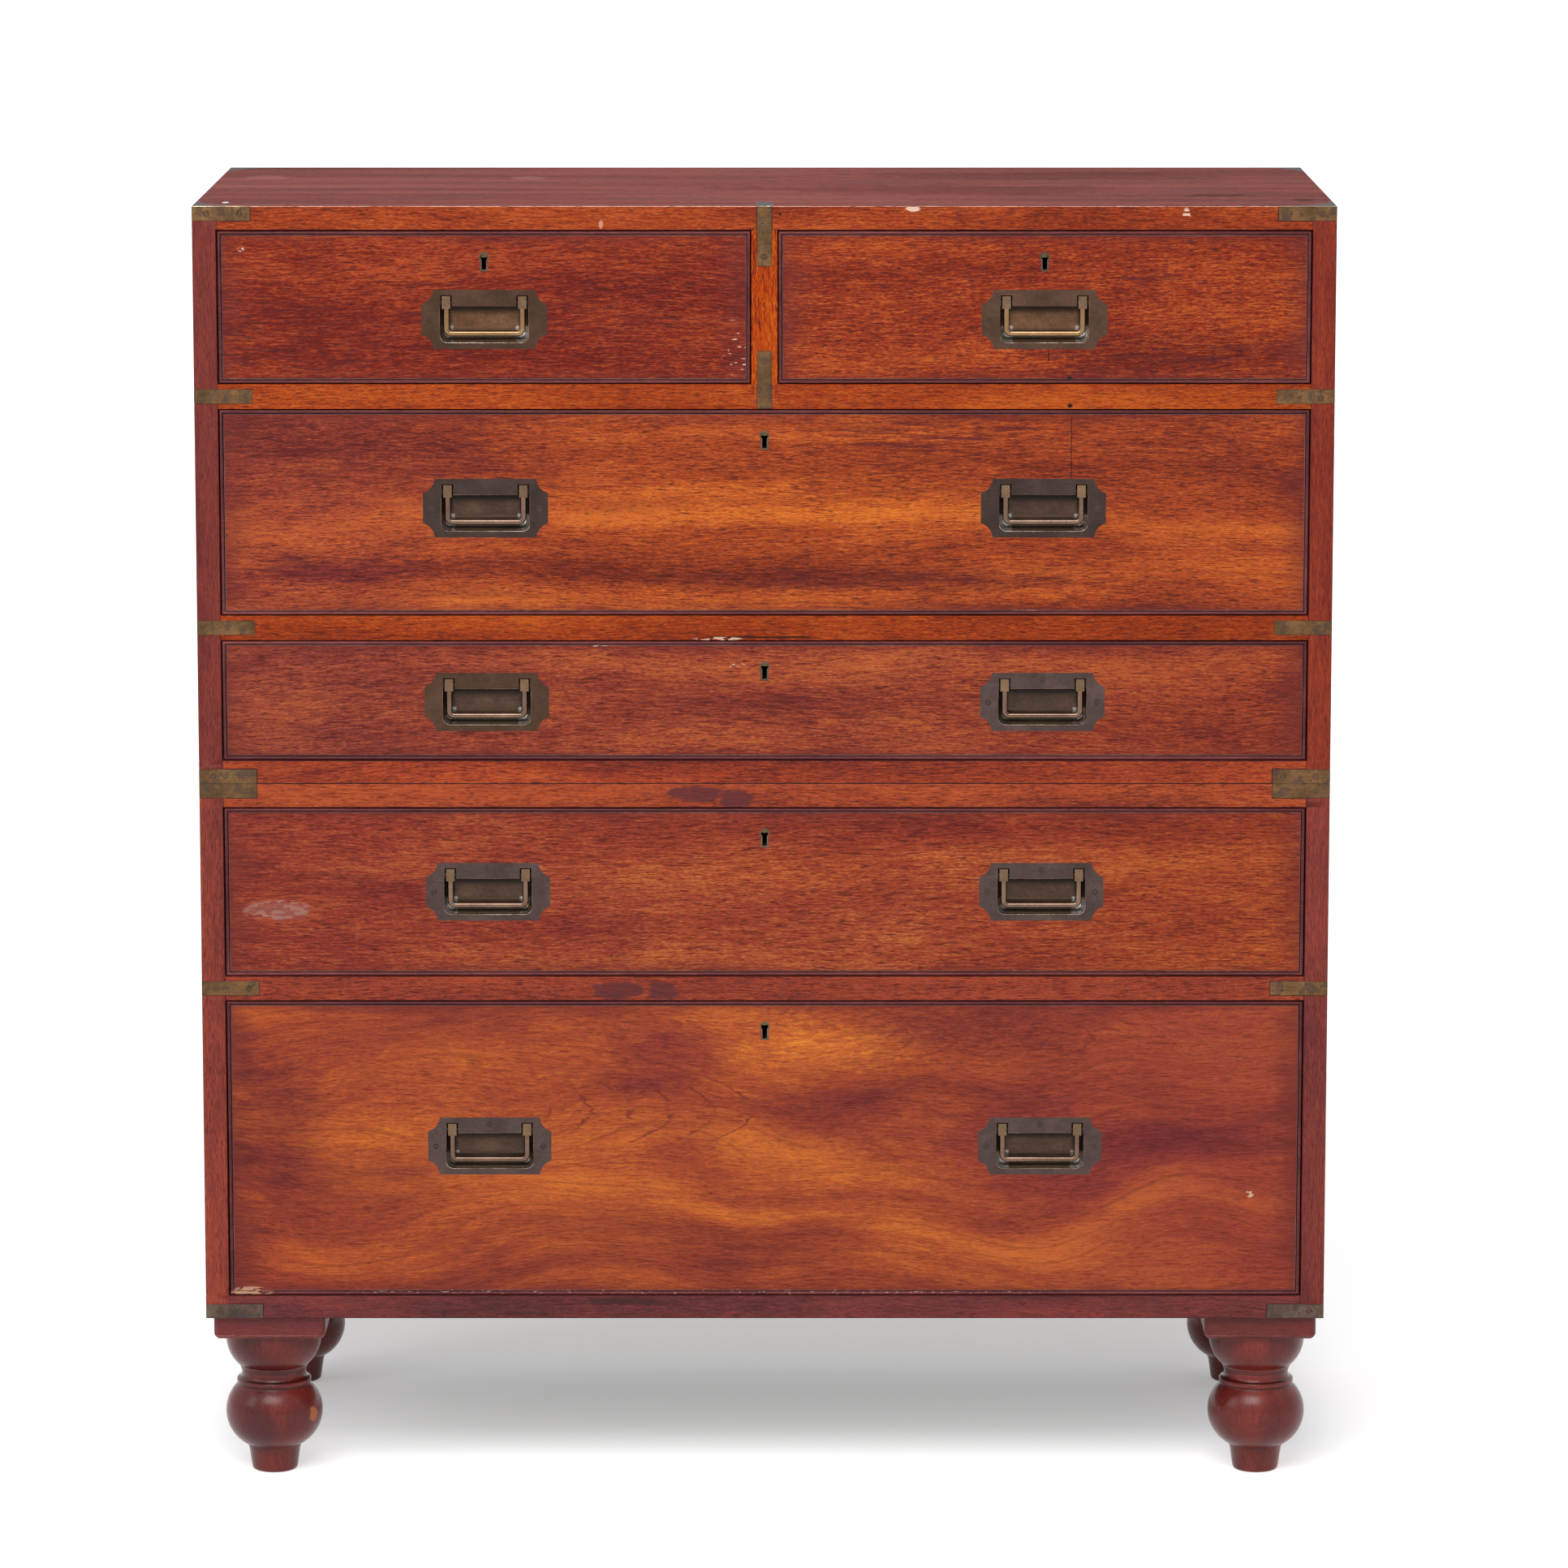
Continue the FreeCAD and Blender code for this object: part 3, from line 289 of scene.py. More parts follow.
def mahogany(
    name, tones, grain="X", seed=0.0, streaks=1.0, swirl=0.0, bands=0.55, lines=0.0, board=None, marks=None,
    shine=0.1, rough=0.45,
):
    """A red hardwood with a satin wax finish; board is the drawer front's edges, across and up."""
    wood = Finish(name, shine=shine)
    run, across, deep = (wood.axes[n] for n in GRAIN[grain])

    def stretched(along, over, line, detail, roughness, shift):
        """A noise with features 1/along metres long and 1/over metres thick."""
        place = wood.vector(run * along, line * over, deep * over)
        return wood.noise(place, 1.0, detail, roughness, seed + shift)

    slow = stretched(2.6, 5.0, across, 1.0, 0.5, 0)
    waver = stretched(17, 45, across, 1.0, 0.5, 3)
    gentle = across + (slow - 0.5) * (0.03 + 0.05 * swirl) + (waver - 0.5) * 0.004
    bent = gentle + (slow - 0.5) * (0.30 * swirl)
    broad = stretched(1.6 + 1.4 * swirl, 24 - 9 * swirl, bent, 2.0, 0.55, 11)
    patch = stretched(8, 30, gentle, 3.0, 0.6, 23)
    streak = stretched(44, 560, gentle, 3.0, 0.75, 31)
    fibre = stretched(240, 1250, gentle, 1.0, 0.5, 41)
    pores = stretched(95, 1150, gentle, 1.0, 0.5, 53)
    fleck = stretched(330, 1250, across, 1.0, 0.5, 67)
    figure = (broad - 0.5) * (1.5 * bands) + (patch - 0.5) * 0.6
    tone = 0.5 + figure + (streak - 0.5) * (1.4 * streaks) + (fibre - 0.5) * streaks
    wood.colour = three_tones(wood, tone, *along_board(wood, wood.axes[0], tones))
    pore = (pores - figure * 0.2).within(0.575, 0.64) * (0.85 * streaks)
    wood.tint(pore, PORE)
    wood.tint(fleck.within(0.52, 0.72) * (0.30 * streaks), wood.colour * (1.35, 2.1, 2.4))
    if lines:
        wave = wood.sine(bent * 300 + broad * 14)
        wood.tint(wave.within(0.86, 1.0) * (patch + streak - 0.5).within(0.42, 0.62) * lines, (0.120, 0.020, 0.014))
    wood.height = streak * 0.4 + fibre * 0.2 - pore
    wood.rough = rough + (patch - 0.5) * 0.3 + pore * 0.15
    if board:
        darker_edges(wood, board, patch, streak)
    if marks:
        x, y, z = wood.axes
        ragged = wood.noise(wood.vector(x * 0.45, y * 0.45, z), 140, 3.0, 0.6, seed + 71)
        wood.cloud = 0.5 + (patch - 0.5) * 0.7 + (ragged - 0.5) * 0.8
        for paint in marks:
            paint(wood)
    wood.wear(base_color=wood.colour, roughness=wood.rough)
    wood.bump(wood.height, 0.00025, 0.3)
    return wood.material


def darker_edges(wood, board, patch, streak):
    """Old polish gathers along the edges of a drawer front and turns red-brown there."""
    (left, right), (low, high) = board
    x, _, z = wood.axes
    side = (x - left * MM).lowest(right * MM - x) + (patch - 0.5) * 0.06 + (streak - 0.5) * 0.012
    level = (z - low * MM).lowest(high * MM - z) + (patch - 0.5) * 0.02 + (streak - 0.5) * 0.004
    near = (1 - side.within(-0.002, 0.030)).highest((1 - level.within(-0.002, 0.011)) * 0.8)
    wood.tint(near * 0.55, (0.130, 0.022, 0.020))


# %% [markdown]
# ## Marks of a long life
#
# Nothing on an old chest is evenly worn. Each mark is a small function of where it sits on the front, in
# millimetres: an oval stain, a thin split, or a scatter of chips. They are painted by position in the
# material, so that they stay on their drawer when it slides.


# %% Stains, splits and chips
def mark(paint):
    """The sizes of a mark are given in a list now, and the mark is painted on its wood later."""
    return lambda *sizes, **more: lambda wood: paint(wood, *sizes, **more)


def distance(axes, places, halves):
    """How far a point is from a place, counted in halves of the mark's size along each axis."""
    return sum(((axis - at * MM) / (half * MM)) ** 2 for axis, at, half in zip(axes, places, halves)) ** 0.5


def uneven_distance(wood, x, level, half_width, half_height, ragged, flat=False):
    """The same across and up, or across and from front to back if flat, with a ragged edge."""
    across, second = wood.axes[0], wood.axes[1 if flat else 2]
    return distance((across, second), (x, level), (half_width, half_height)) + (wood.cloud - 0.5) * (2 * ragged)


def oval(*place):
    """1 inside an uneven oval, 0 outside."""
    return 1 - uneven_distance(*place).within(0.7, 1.1)


@mark
def stain(wood, x, level, half_width, half_height, tint, amount, ragged=0.6, flat=False):
    """A spot of another colour."""
    inside = oval(wood, x, level, half_width, half_height, ragged, flat)
    wood.tint(inside * amount, tint)
    wood.rough += inside * 0.1


@mark
def shade(wood, x, z, half_width, half_height, times, ragged=0.8):
    """A broad patch in which each of red, green and blue is multiplied."""
    reach = uneven_distance(wood, x, z, half_width, half_height, ragged)
    wood.tint(1 - reach.within(0.3, 1.15), wood.colour * times)


@mark
def streaks_at(wood, x, z, half_width, half_height, slope=0.0, amount=0.7, tint=(0.085, 0.012, 0.014)):
    """Long dark streaks inside an oval, sloping down to the right by the given amount."""
    place = wood.vector(wood.axes[0] * 20, (wood.axes[2] + wood.axes[0] * slope) * 330, 0)
    long = wood.noise(place, 1.0, 4.0, 0.65, x * 0.1)
    wood.tint(oval(wood, x, z, half_width, half_height, 0.7) * long.within(0.47, 0.62) * amount, tint)


@mark
def worn_through(wood, x, y, z, radius, tint, amount):
    """An uneven patch round one point, which leaves the other feet alone."""
    inside = 1 - (distance(wood.axes, (x, y, z), (radius,) * 3) + (wood.cloud - 0.5) * 2.0).within(0.6, 1.1)
    wood.tint(inside * amount, tint)
    wood.rough += inside * 0.2


@mark
def painted_shade_ring(wood, level, half_height):
    """A dark line all round a turned piece, painted as the shade in a crease of the turning."""
    off = (wood.axes[2] - level * MM).size() / (half_height * MM)
    wood.tint((1 - off.within(0.3, 1.3)) * 0.75, (0.012, 0.006, 0.006))


@mark
def growth_lines(wood, x, z, spacing, curve, reach, amount, closed=False):
    """Thin dark lines of growth: nested curves that open to the left, or closed rings."""
    across, up = (wood.axes[0] - x * MM) / MM, (wood.axes[2] - z * MM) / MM
    uneven = (wood.cloud - 0.5) * (spacing * 0.7)
    ratio = reach[0] / reach[1]
    way = (across * across + up * up * ratio ** 2) ** 0.5 if closed else across + up * up * curve
    wave = wood.sine((way + uneven) * (2 * math.pi / spacing))
    far = distance((wood.axes[0], wood.axes[2]), (x, z), reach)
    line = wave.within(0.90, 1.0) * (1 - far.within(0.55, 1.1)) * wood.cloud.within(0.38, 0.56)
    wood.tint(line * amount, (0.150, 0.024, 0.018))


@mark
def chips(wood, x, z, half_width, half_height, tint=(0.62, 0.42, 0.30), size=900, share=0.6):
    """Small bare nicks scattered inside an oval."""
    speck = wood.noise(wood.vector(wood.axes[0] * 0.35, wood.axes[2], wood.axes[1]), size, 1.0, 0.5, x)
    inside = oval(wood, x, z, half_width, half_height, 0.2) * speck.within(share, share + 0.03)
    wood.tint(inside, tint)
    wood.rough += inside * 0.3
    wood.height -= inside * 0.8


@mark
def split(wood, x, z, half_width, half_height, waver=0.0012):
    """A thin black crack, longer one way than the other."""
    along, beside, middle, line = wood.axes[0], wood.axes[2], x, z
    if half_height > half_width:
        along, beside, middle, line = beside, along, z, x
    shift = wood.noise(wood.vector(along, 0, 0), 60, 3.0, 0.6, x) - 0.5
    off = (beside - line * MM + shift * waver).size() / (min(half_width, half_height) * MM)
    end = (along - middle * MM).size() / (max(half_width, half_height) * MM)
    inside = (1 - off.within(0.5, 1.2)) * (1 - end.within(0.7, 1.0))
    wood.tint(inside * 0.9, (0.02, 0.008, 0.006))
    wood.rough += inside * 0.2
    wood.height -= inside * 2.0


DARKER, REDDER, BRIGHTER = (0.66, 0.62, 0.90), (0.74, 0.64, 1.05), (1.45, 1.85, 1.15)
MARKS = {  # for each drawer front, all in millimetres across and up
    "short_drawer_left": [
        shade(-300, 1025, 150, 30, (0.90, 0.84, 0.88)),
        streaks_at(-390, 1022, 100, 30, 0.10), streaks_at(-190, 1040, 170, 14, 0.03, 0.6),
        chips(-23, 1015, 14, 28, size=420, share=0.66), chips(-453.6, 1100.6, 3.0, 2.2, (0.8, 0.7, 0.65), 900, 0.55),
    ],
    "short_drawer_right": [
        shade(330, 1012, 120, 20, (0.72, 0.66, 0.80)), streaks_at(330, 1077, 36, 5, 0.0, 0.8),
        streaks_at(340, 1008, 130, 16, -0.04),
        stain(264.8, 988.6, 2.6, 1.6, (0.01, 0.008, 0.008), 1.0, 0.1), split(246.9, 1008, 0.7, 5),
    ],
    "deep_drawer": [
        shade(-340, 905, 150, 60, (0.85, 0.80, 1.0)), shade(60, 880, 200, 26, (1.15, 1.25, 1.0)),
        shade(60, 812, 300, 12, DARKER), shade(-380, 818, 90, 12, REDDER),
        streaks_at(150, 940, 120, 16, 0.03, 0.75), streaks_at(-330, 915, 130, 20, 0.05, 0.6),
        streaks_at(-390, 822, 90, 16, 0.02, 0.6), streaks_at(110, 812, 190, 9, 0.0, 0.7),
        streaks_at(360, 925, 80, 10, 0.02, 0.5),
        split(266.9, 905, 0.45, 60), chips(230, 784, 24, 1.6, size=500, share=0.5),
    ],
    "shallow_drawer": [
        streaks_at(-330, 715, 130, 16, 0.10, 0.55), streaks_at(0, 700, 110, 18, 0.12, 0.55),
        streaks_at(300, 690, 150, 18, 0.0, 0.35),
        chips(-146, 754.6, 13, 1.6, size=500, share=0.5), chips(-25, 736, 9, 3, size=600),
    ],
    "middle_drawer": [
        shade(-140, 500, 60, 40, (0.88, 0.84, 1.0)), shade(60, 560, 200, 30, (1.10, 1.15, 1.0)),
        streaks_at(-380, 545, 80, 12, 0.05, 0.4),
        chips(-427, 519, 31, 9.5, (0.40, 0.19, 0.15), 300, 0.5),
        stain(-427, 519, 31, 9, (0.30, 0.11, 0.09), 0.55),
        chips(384, 609, 34, 1.6, size=500, share=0.48),
        chips(225, 463.5, 12, 1.8, size=500, share=0.5),
        chips(-26, 463.5, 6, 1.6, size=500, share=0.5),
    ],
    "bottom_drawer": [
        shade(55, 396, 95, 26, BRIGHTER), shade(-85, 388, 60, 34, REDDER),
        shade(269, 300, 170, 60, (0.86, 0.80, 1.1)),
        shade(-333, 295, 100, 50, (1.25, 1.45, 1.0)), shade(-140, 235, 150, 26, (1.15, 1.25, 1.0)),
        shade(-430, 330, 50, 90, DARKER),
        shade(391, 396, 46, 15, (1.2, 1.35, 1.05), 0.4), shade(60, 330, 70, 40, (0.82, 0.76, 1.0)),
        shade(-60, 330, 60, 40, (0.86, 0.80, 1.0)),
        growth_lines(-90, 339, 36, 0.045, (130, 36), 0.75), growth_lines(391, 396, 7.5, 0, (52, 19), 0.7, closed=True),
        growth_lines(200, 404, 40, 0.10, (150, 26), 0.5),
        chips(-455, 176.5, 18, 3.6, (0.50, 0.27, 0.17), 300, 0.40), chips(429, 264, 4, 4, size=500, share=0.5),
    ],
}
PALE, PURPLE = (0.75, 0.50, 0.38), (0.100, 0.026, 0.030)
CASE_MARKS = {
    "top_rail": [
        chips(128.4, 1136.0, 7, 3, PALE, 200, 0.35), chips(365.2, 1129.2, 3.5, 8, PALE, 260, 0.45),
        stain(-141.3, 1122.1, 2.2, 5, (0.60, 0.30, 0.20), 0.8, 0.9),
        stain(13.5, 1131.4, 1.4, 1.4, (0.02, 0.01, 0.01), 1.0, 0.1),
    ],
    "rail": [
        split(-2.5, 761.4, 53, 1.0), chips(-40, 760.2, 22, 1.6, size=420, share=0.5),
        stain(265.5, 964.7, 2.6, 2.0, (0.01, 0.008, 0.008), 1.0, 0.1),
    ],
    "joint_low": [stain(-60, 622, 22, 7, PURPLE, 0.8, 0.9), stain(-26, 618, 14, 8, PURPLE, 0.8, 0.9)],
    "joint_up": [shade(-440, 640, 60, 12, DARKER)],
    "low_rail": [stain(-128, 448, 22, 8, PURPLE, 0.8, 0.9), stain(-90, 446, 14, 8, PURPLE, 0.8, 0.9)],
    "bottom_rail": [stain(-124, 166, 48, 4, (0.050, 0.020, 0.022), 0.7, 0.9)],
    "top": [
        stain(*place, tint, amount, ragged, flat=True) for place, tint, amount, ragged in (
            ((-469, -178, 3.2, 8.0), (0.95, 0.93, 0.90), 1.0, 0.1),
            ((-452, 96, 20, 30), (0.40, 0.17, 0.145), 0.6, 0.9),
            ((-215, 92, 16, 22), (0.42, 0.19, 0.165), 0.6, 1.0),
            ((396, -100, 26, 16), (0.080, 0.028, 0.028), 0.7, 1.0),
            ((472, -150, 10, 14), (0.080, 0.028, 0.028), 0.7, 1.0),
            ((150, -40, 160, 60), (0.150, 0.045, 0.042), 0.35, 1.2),
            ((-200, -170, 150, 22), (0.330, 0.110, 0.090), 0.4, 1.2),
            ((240, 120, 180, 40), (0.140, 0.042, 0.040), 0.35, 1.2),
        )
    ],
    "foot": [
        worn_through(-405, -181, 55, 7.5, (0.520, 0.160, 0.045), 0.85),
        stain(-452, 40, 16, 22, (0.050, 0.010, 0.014), 0.5, 1.0),
        # Dark rings at the creases of the turning are painted shade.
        painted_shade_ring(79.6, 0.9), painted_shade_ring(24.3, 0.7), painted_shade_ring(92.6, 0.6), painted_shade_ring(85.2, 0.9),
        painted_shade_ring(94.6, 0.5),
    ],
}
print("marks:", sum(len(m) for m in MARKS.values()))

# %% [markdown]
# ## Drawer fronts
#
# Each front was cut from a different board, so each has its own tones: the short drawers are dark and
# streaky, the deep drawer is more orange, and the bottom one has a broad swirling figure. The fronts of
# the solid model have the right shape already, so they only take a new material.

# %% Six fronts, six boards
FRONTS = {
    "short_drawer_left": {
        "tones": [((0.095, 0.007, 0.005), (0.216, 0.022, 0.010), (0.396, 0.067, 0.017))],
        "seed": 4.0, "bands": 0.5,
    },
    "short_drawer_right": {
        "tones": [((0.130, 0.011, 0.005), (0.274, 0.032, 0.011), (0.502, 0.099, 0.018))],
        "seed": 9.0, "bands": 0.5,
    },
    "deep_drawer": {
        "tones": [
            ((0.120, 0.018, 0.014), (0.281, 0.044, 0.022), (0.515, 0.106, 0.026)),
            ((0.165, 0.021, 0.008), (0.361, 0.056, 0.014), (0.582, 0.132, 0.022)),
            ((0.160, 0.021, 0.011), (0.362, 0.055, 0.015), (0.570, 0.124, 0.021)),
        ],
        "seed": 17.0, "streaks": 0.85, "bands": 0.7, "swirl": 0.1, "lines": 0.3,
    },
    "shallow_drawer": {
        "tones": [
            ((0.107, 0.017, 0.015), (0.225, 0.037, 0.024), (0.396, 0.085, 0.032)),
            ((0.135, 0.018, 0.013), (0.273, 0.043, 0.022), (0.477, 0.108, 0.028)),
            ((0.140, 0.018, 0.012), (0.272, 0.038, 0.017), (0.437, 0.090, 0.025)),
        ],
        "seed": 26.0, "streaks": 0.9, "bands": 0.5,
    },
    "middle_drawer": {
        "tones": [
            ((0.140, 0.016, 0.014), (0.263, 0.037, 0.021), (0.428, 0.094, 0.031)),
            ((0.179, 0.022, 0.014), (0.310, 0.047, 0.021), (0.498, 0.131, 0.035)),
            ((0.190, 0.023, 0.011), (0.325, 0.048, 0.017), (0.500, 0.122, 0.026)),
        ],
        "seed": 35.0, "streaks": 0.85, "bands": 0.45,
    },
    "bottom_drawer": {
        "tones": [
            ((0.153, 0.026, 0.023), (0.298, 0.047, 0.023), (0.521, 0.110, 0.024)),
            ((0.194, 0.030, 0.022), (0.377, 0.068, 0.024), (0.622, 0.160, 0.028)),
            ((0.178, 0.028, 0.024), (0.316, 0.050, 0.028), (0.479, 0.100, 0.031)),
        ],
        "seed": 44.0, "streaks": 0.5, "bands": 0.9, "swirl": 1.0, "lines": 0.35,
    },
}


def finish_node(name, material):
    """The solid keeps its shape and takes one material all over."""
    solid = nodes[name].data
    solid.materials.clear()
    solid.materials.append(material)
    for polygon in solid.polygons:
        polygon.material_index = 0


for drawer, look in FRONTS.items():
    spread = DRAWERS[drawer]
    board = ((spread["x"][0] + 5, spread["x"][1] - 5), (spread["z"][0] + 5, spread["z"][1] - 5))
    finish_node(f"{drawer}_front", mahogany(f"{drawer}_front", board=board, marks=MARKS[drawer], **look))
print("fronts finished:", len(FRONTS))

# %% [markdown]
# ## Easing the edges
#
# No edge on real furniture is sharp: it is planed off by a hair, and then rubbed for years. A small bevel
# catches a thin line of light along every edge, and it is the first thing that tells the eye how large an
# object is. The solids are exact and may not be changed, so a piece that shows its edges is copied, its
# triangles are merged back into whole faces, its sharp edges are bevelled, and the copy stands in for the
# node. The faces of the bevel take the second material, where the wood or brass is rubbed brighter; along
# the top's front edge and the top edge of the straps that brighter colour is also a painted highlight.


# %% Copy a node and ease its edges
SAME_FACE, SHARP_EDGE = math.radians(1), math.radians(30)


def as_mesh(work, name):
    mesh = bpy.data.meshes.new(name)
    work.to_mesh(mesh)
    work.free()
    return mesh


def mesh_object(work, name):
    made = bpy.data.objects.new(name, as_mesh(work, name))
    bpy.context.scene.collection.objects.link(made)
    return made


def to_object(mesh_work, name, materials, smooth_below=40):
    """Finishes a bmesh as an object whose flat faces stay flat and whose bends look round."""
    mesh_work.normal_update()
    made = mesh_object(mesh_work, name)
    for material in materials:
        made.data.materials.append(material)
    for polygon in made.data.polygons:
        polygon.use_smooth = True
    made.data.set_sharp_from_angle(angle=math.radians(smooth_below))
    weighted = made.modifiers.new("flat faces stay flat", "WEIGHTED_NORMAL")
    weighted.keep_sharp = True
    weighted.weight = 100
    return made


def eased_mesh(node, width, segments, cuts=(), leave=None):
    """The node's shape, cut across where asked, with its sharp edges bevelled; the bevel takes material 1."""
    work = bmesh.new()
    work.from_mesh(nodes[node].data)
    bmesh.ops.remove_doubles(work, verts=work.verts, dist=1e-6)
    bmesh.ops.dissolve_limit(work, angle_limit=SAME_FACE, verts=work.verts, edges=work.edges)
    for across in cuts:
        parts = work.verts[:] + work.edges[:] + work.faces[:]
        bmesh.ops.bisect_plane(work, geom=parts, dist=1e-6, plane_co=(across * MM, 0, 0), plane_no=(1, 0, 0))
    sharp = [e for e in work.edges if e.is_manifold and e.calc_face_angle(0) > SHARP_EDGE]
    if leave:
        sharp = [e for e in sharp if not leave(e)]
    bmesh.ops.bevel(
        work, geom=sharp, offset=width * MM, offset_type="OFFSET", segments=segments, profile=0.5,
        affect="EDGES", clamp_overlap=True, material=1,
    )
    return work


def stand_in(made, body, slot, *replaced):
    """The new piece rides on its body and is shown in place of the nodes."""
    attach(made, body)
    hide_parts(*replaced)
    return made


def dressed(node, body, slot, choose, width, segments, cuts=(), leave=None):
    """Eases a node's edges, then asks for the name of the wood of every face."""
    work = eased_mesh(node, width, segments, cuts, leave)
    names = []
    for face in work.faces:
        name = choose(face.calc_center_median() / MM, face.normal, face.material_index == 1)
        if name not in names:
            names.append(name)
        face.material_index = names.index(name)
    made = to_object(work, f"{node}_eased", [WOODS[n] for n in names])
    return stand_in(made, body, slot, node)


# %% [markdown]
# ## The case
#
# Top, sides, bottoms and rails are one timber, polished after the case was glued up. The rails run across
# and the sides run up, so their grain turns a corner where they meet. Boards that take the light have
# faded towards orange, and the lower ones, which are kicked and mopped, have gone dark and purple.

# %% Tones of the case
CASE_TONES = {
    "top": ((0.130, 0.028, 0.026), (0.245, 0.060, 0.052), (0.360, 0.095, 0.075)),
    "top_rail": ((0.130, 0.014, 0.006), (0.305, 0.040, 0.010), (0.520, 0.105, 0.020)),
    "rail": ((0.150, 0.015, 0.003), (0.312, 0.039, 0.007), (0.510, 0.098, 0.012)),
    "low_rail": ((0.132, 0.022, 0.017), (0.317, 0.049, 0.023), (0.460, 0.086, 0.028)),
    "divider": ((0.160, 0.013, 0.001), (0.358, 0.036, 0.002), (0.570, 0.100, 0.004)),
    "joint_up": ((0.125, 0.018, 0.013), (0.325, 0.045, 0.017), (0.510, 0.092, 0.022)),
    "joint_low": ((0.140, 0.022, 0.015), (0.330, 0.052, 0.019), (0.490, 0.095, 0.026)),
    "bottom_rail": ((0.050, 0.020, 0.023), (0.140, 0.034, 0.034), (0.280, 0.050, 0.040)),
    "stile": ((0.075, 0.015, 0.016), (0.145, 0.026, 0.023), (0.250, 0.044, 0.029)),
    "stile_right": ((0.115, 0.013, 0.010), (0.225, 0.030, 0.016), (0.360, 0.055, 0.020)),
    "low_stile": ((0.125, 0.027, 0.023), (0.255, 0.045, 0.031), (0.400, 0.072, 0.035)),
    "low_stile_right": ((0.100, 0.024, 0.024), (0.205, 0.039, 0.033), (0.340, 0.060, 0.036)),
    "side": ((0.100, 0.018, 0.017), (0.190, 0.031, 0.025), (0.300, 0.050, 0.032)),
    "block": ((0.085, 0.016, 0.017), (0.175, 0.028, 0.026), (0.260, 0.044, 0.034)),
    "foot": ((0.050, 0.005, 0.006), (0.145, 0.016, 0.013), (0.260, 0.034, 0.019)),
    "dark_edge": ((0.040, 0.010, 0.010), (0.085, 0.016, 0.014), (0.150, 0.028, 0.022)),
    "gap_line": ((0.010, 0.004, 0.004), (0.022, 0.008, 0.008), (0.060, 0.020, 0.018)),
    # The top's front edge: rubbed, and painted pale as a painted highlight along it.
    "worn_and_lit_edge": ((0.400, 0.120, 0.080), (0.620, 0.310, 0.220), (0.820, 0.600, 0.490)),
    "scuffed_edge": ((0.120, 0.026, 0.022), (0.200, 0.048, 0.042), (0.320, 0.115, 0.100)),
}
UPRIGHT = ("stile", "stile_right", "low_stile", "low_stile_right", "side", "divider", "foot")
CALM, CLOUDY = {"streaks": 0.6, "bands": 0.4}, {"streaks": 0.8, "bands": 0.6}
LOOKS = {
    "top": {"streaks": 0.65, "bands": 0.7, "shine": 0.02, "rough": 0.6},
    **dict.fromkeys(("stile", "stile_right", "low_stile", "low_stile_right", "bottom_rail"), CALM),
    **dict.fromkeys(("top_rail", "rail", "low_rail", "joint_up", "joint_low"), CLOUDY),
    "side": {"streaks": 0.6, "bands": 0.6, "swirl": 0.15},
    "block": {"streaks": 0.5, "shine": 0.25, "rough": 0.38},
    "foot": {"streaks": 0.45, "bands": 1.0, "swirl": 0.6, "shine": 0.3, "rough": 0.25},
    "gap_line": {"streaks": 0.4},
    "worn_and_lit_edge": {"streaks": 0.9, "shine": 0.3},
    "scuffed_edge": {"streaks": 0.8, "shine": 0.2},
}
WOODS = {}
for number, (name, tones) in enumerate(CASE_TONES.items()):
    grain = "Z" if name in UPRIGHT else "X"
    looks = {"marks": CASE_MARKS.get(name), **LOOKS.get(name, {})}
    WOODS[name] = mahogany(f"{name}_wood", [tones], grain, 61 + 5.3 * number, **looks)
print("woods:", len(WOODS))

# %% Which wood each face of the case shows
MEETING = 0.6  # the dark line where a board meets the sides


def case_wood(front):
    """For one board: the front between the sides, the ends that belong to the sides, and the edges."""

    def choose(middle, normal, on_edge):
        upper = middle.z > JOINT
        if abs(middle.z - JOINT) < 1.1 and (on_edge or normal.y < -0.5):
            return "gap_line" if upper or normal.y > -0.2 else "scuffed_edge"
        if on_edge:
            # Along the top's front edge the bevel is rubbed and painted pale as a painted highlight.
            if middle.z > TOP - 2.0:
                return "worn_and_lit_edge" if normal.y < -0.2 else "scuffed_edge"
            return "scuffed_edge" if abs(middle.x) > HALF_WIDTH - 1 else "dark_edge"
        if normal.y < -0.6 and middle.y < FACE + 0.5:
            if abs(middle.x) > INNER:
                return ("stile" if upper else "low_stile") + ("_right" if middle.x > 0 else "")
            return "dark_edge" if abs(middle.x) > INNER - MEETING else front
        if normal.z > 0.9 and middle.z > TOP - 1:
            return "top"
        if normal.z < -0.9 and middle.z < CASE_FOOT + 9:
            return "bare"
        return "side"

    return choose


def on_stile(edge):
    """True on the front of the sides, where the boards meet without a line."""
    a, b = (v.co / MM for v in edge.verts)
    level = (a.z + b.z) / 2
    flat = abs(a.z - b.z) < 0.1 and max(a.y, b.y) < FRONT + 0.1 and min(abs(a.x), abs(b.x)) > INNER - 0.05
    return flat and min(abs(level - z) for z in (TOP, JOINT, CASE_FOOT)) > 1.0


def under_divider(edge):
    """True where the upright between the short drawers stands on its rail."""
    near = HALF_DIVIDER + 0.05
    return all(abs(v.co.x / MM) < near and abs(v.co.z / MM - SHORT_LOW) < 1 for v in edge.verts)


def rail_wood(front):
    """Rails between the drawers; the upright between the short drawers has its own grain."""

    def choose(middle, normal, on_edge):
        if on_edge:
            return "dark_edge"
        upright = abs(middle.x) < HALF_DIVIDER + 0.75 and SHORT_LOW - 0.4 < middle.z < SHORT_HIGH + 0.8
        return "divider" if upright else front

    return choose


def block_wood(middle, normal, on_edge):
    return "scuffed_edge" if on_edge and middle.z < FOOT_TOP + 7 and abs(normal.z) > 0.2 else "block"


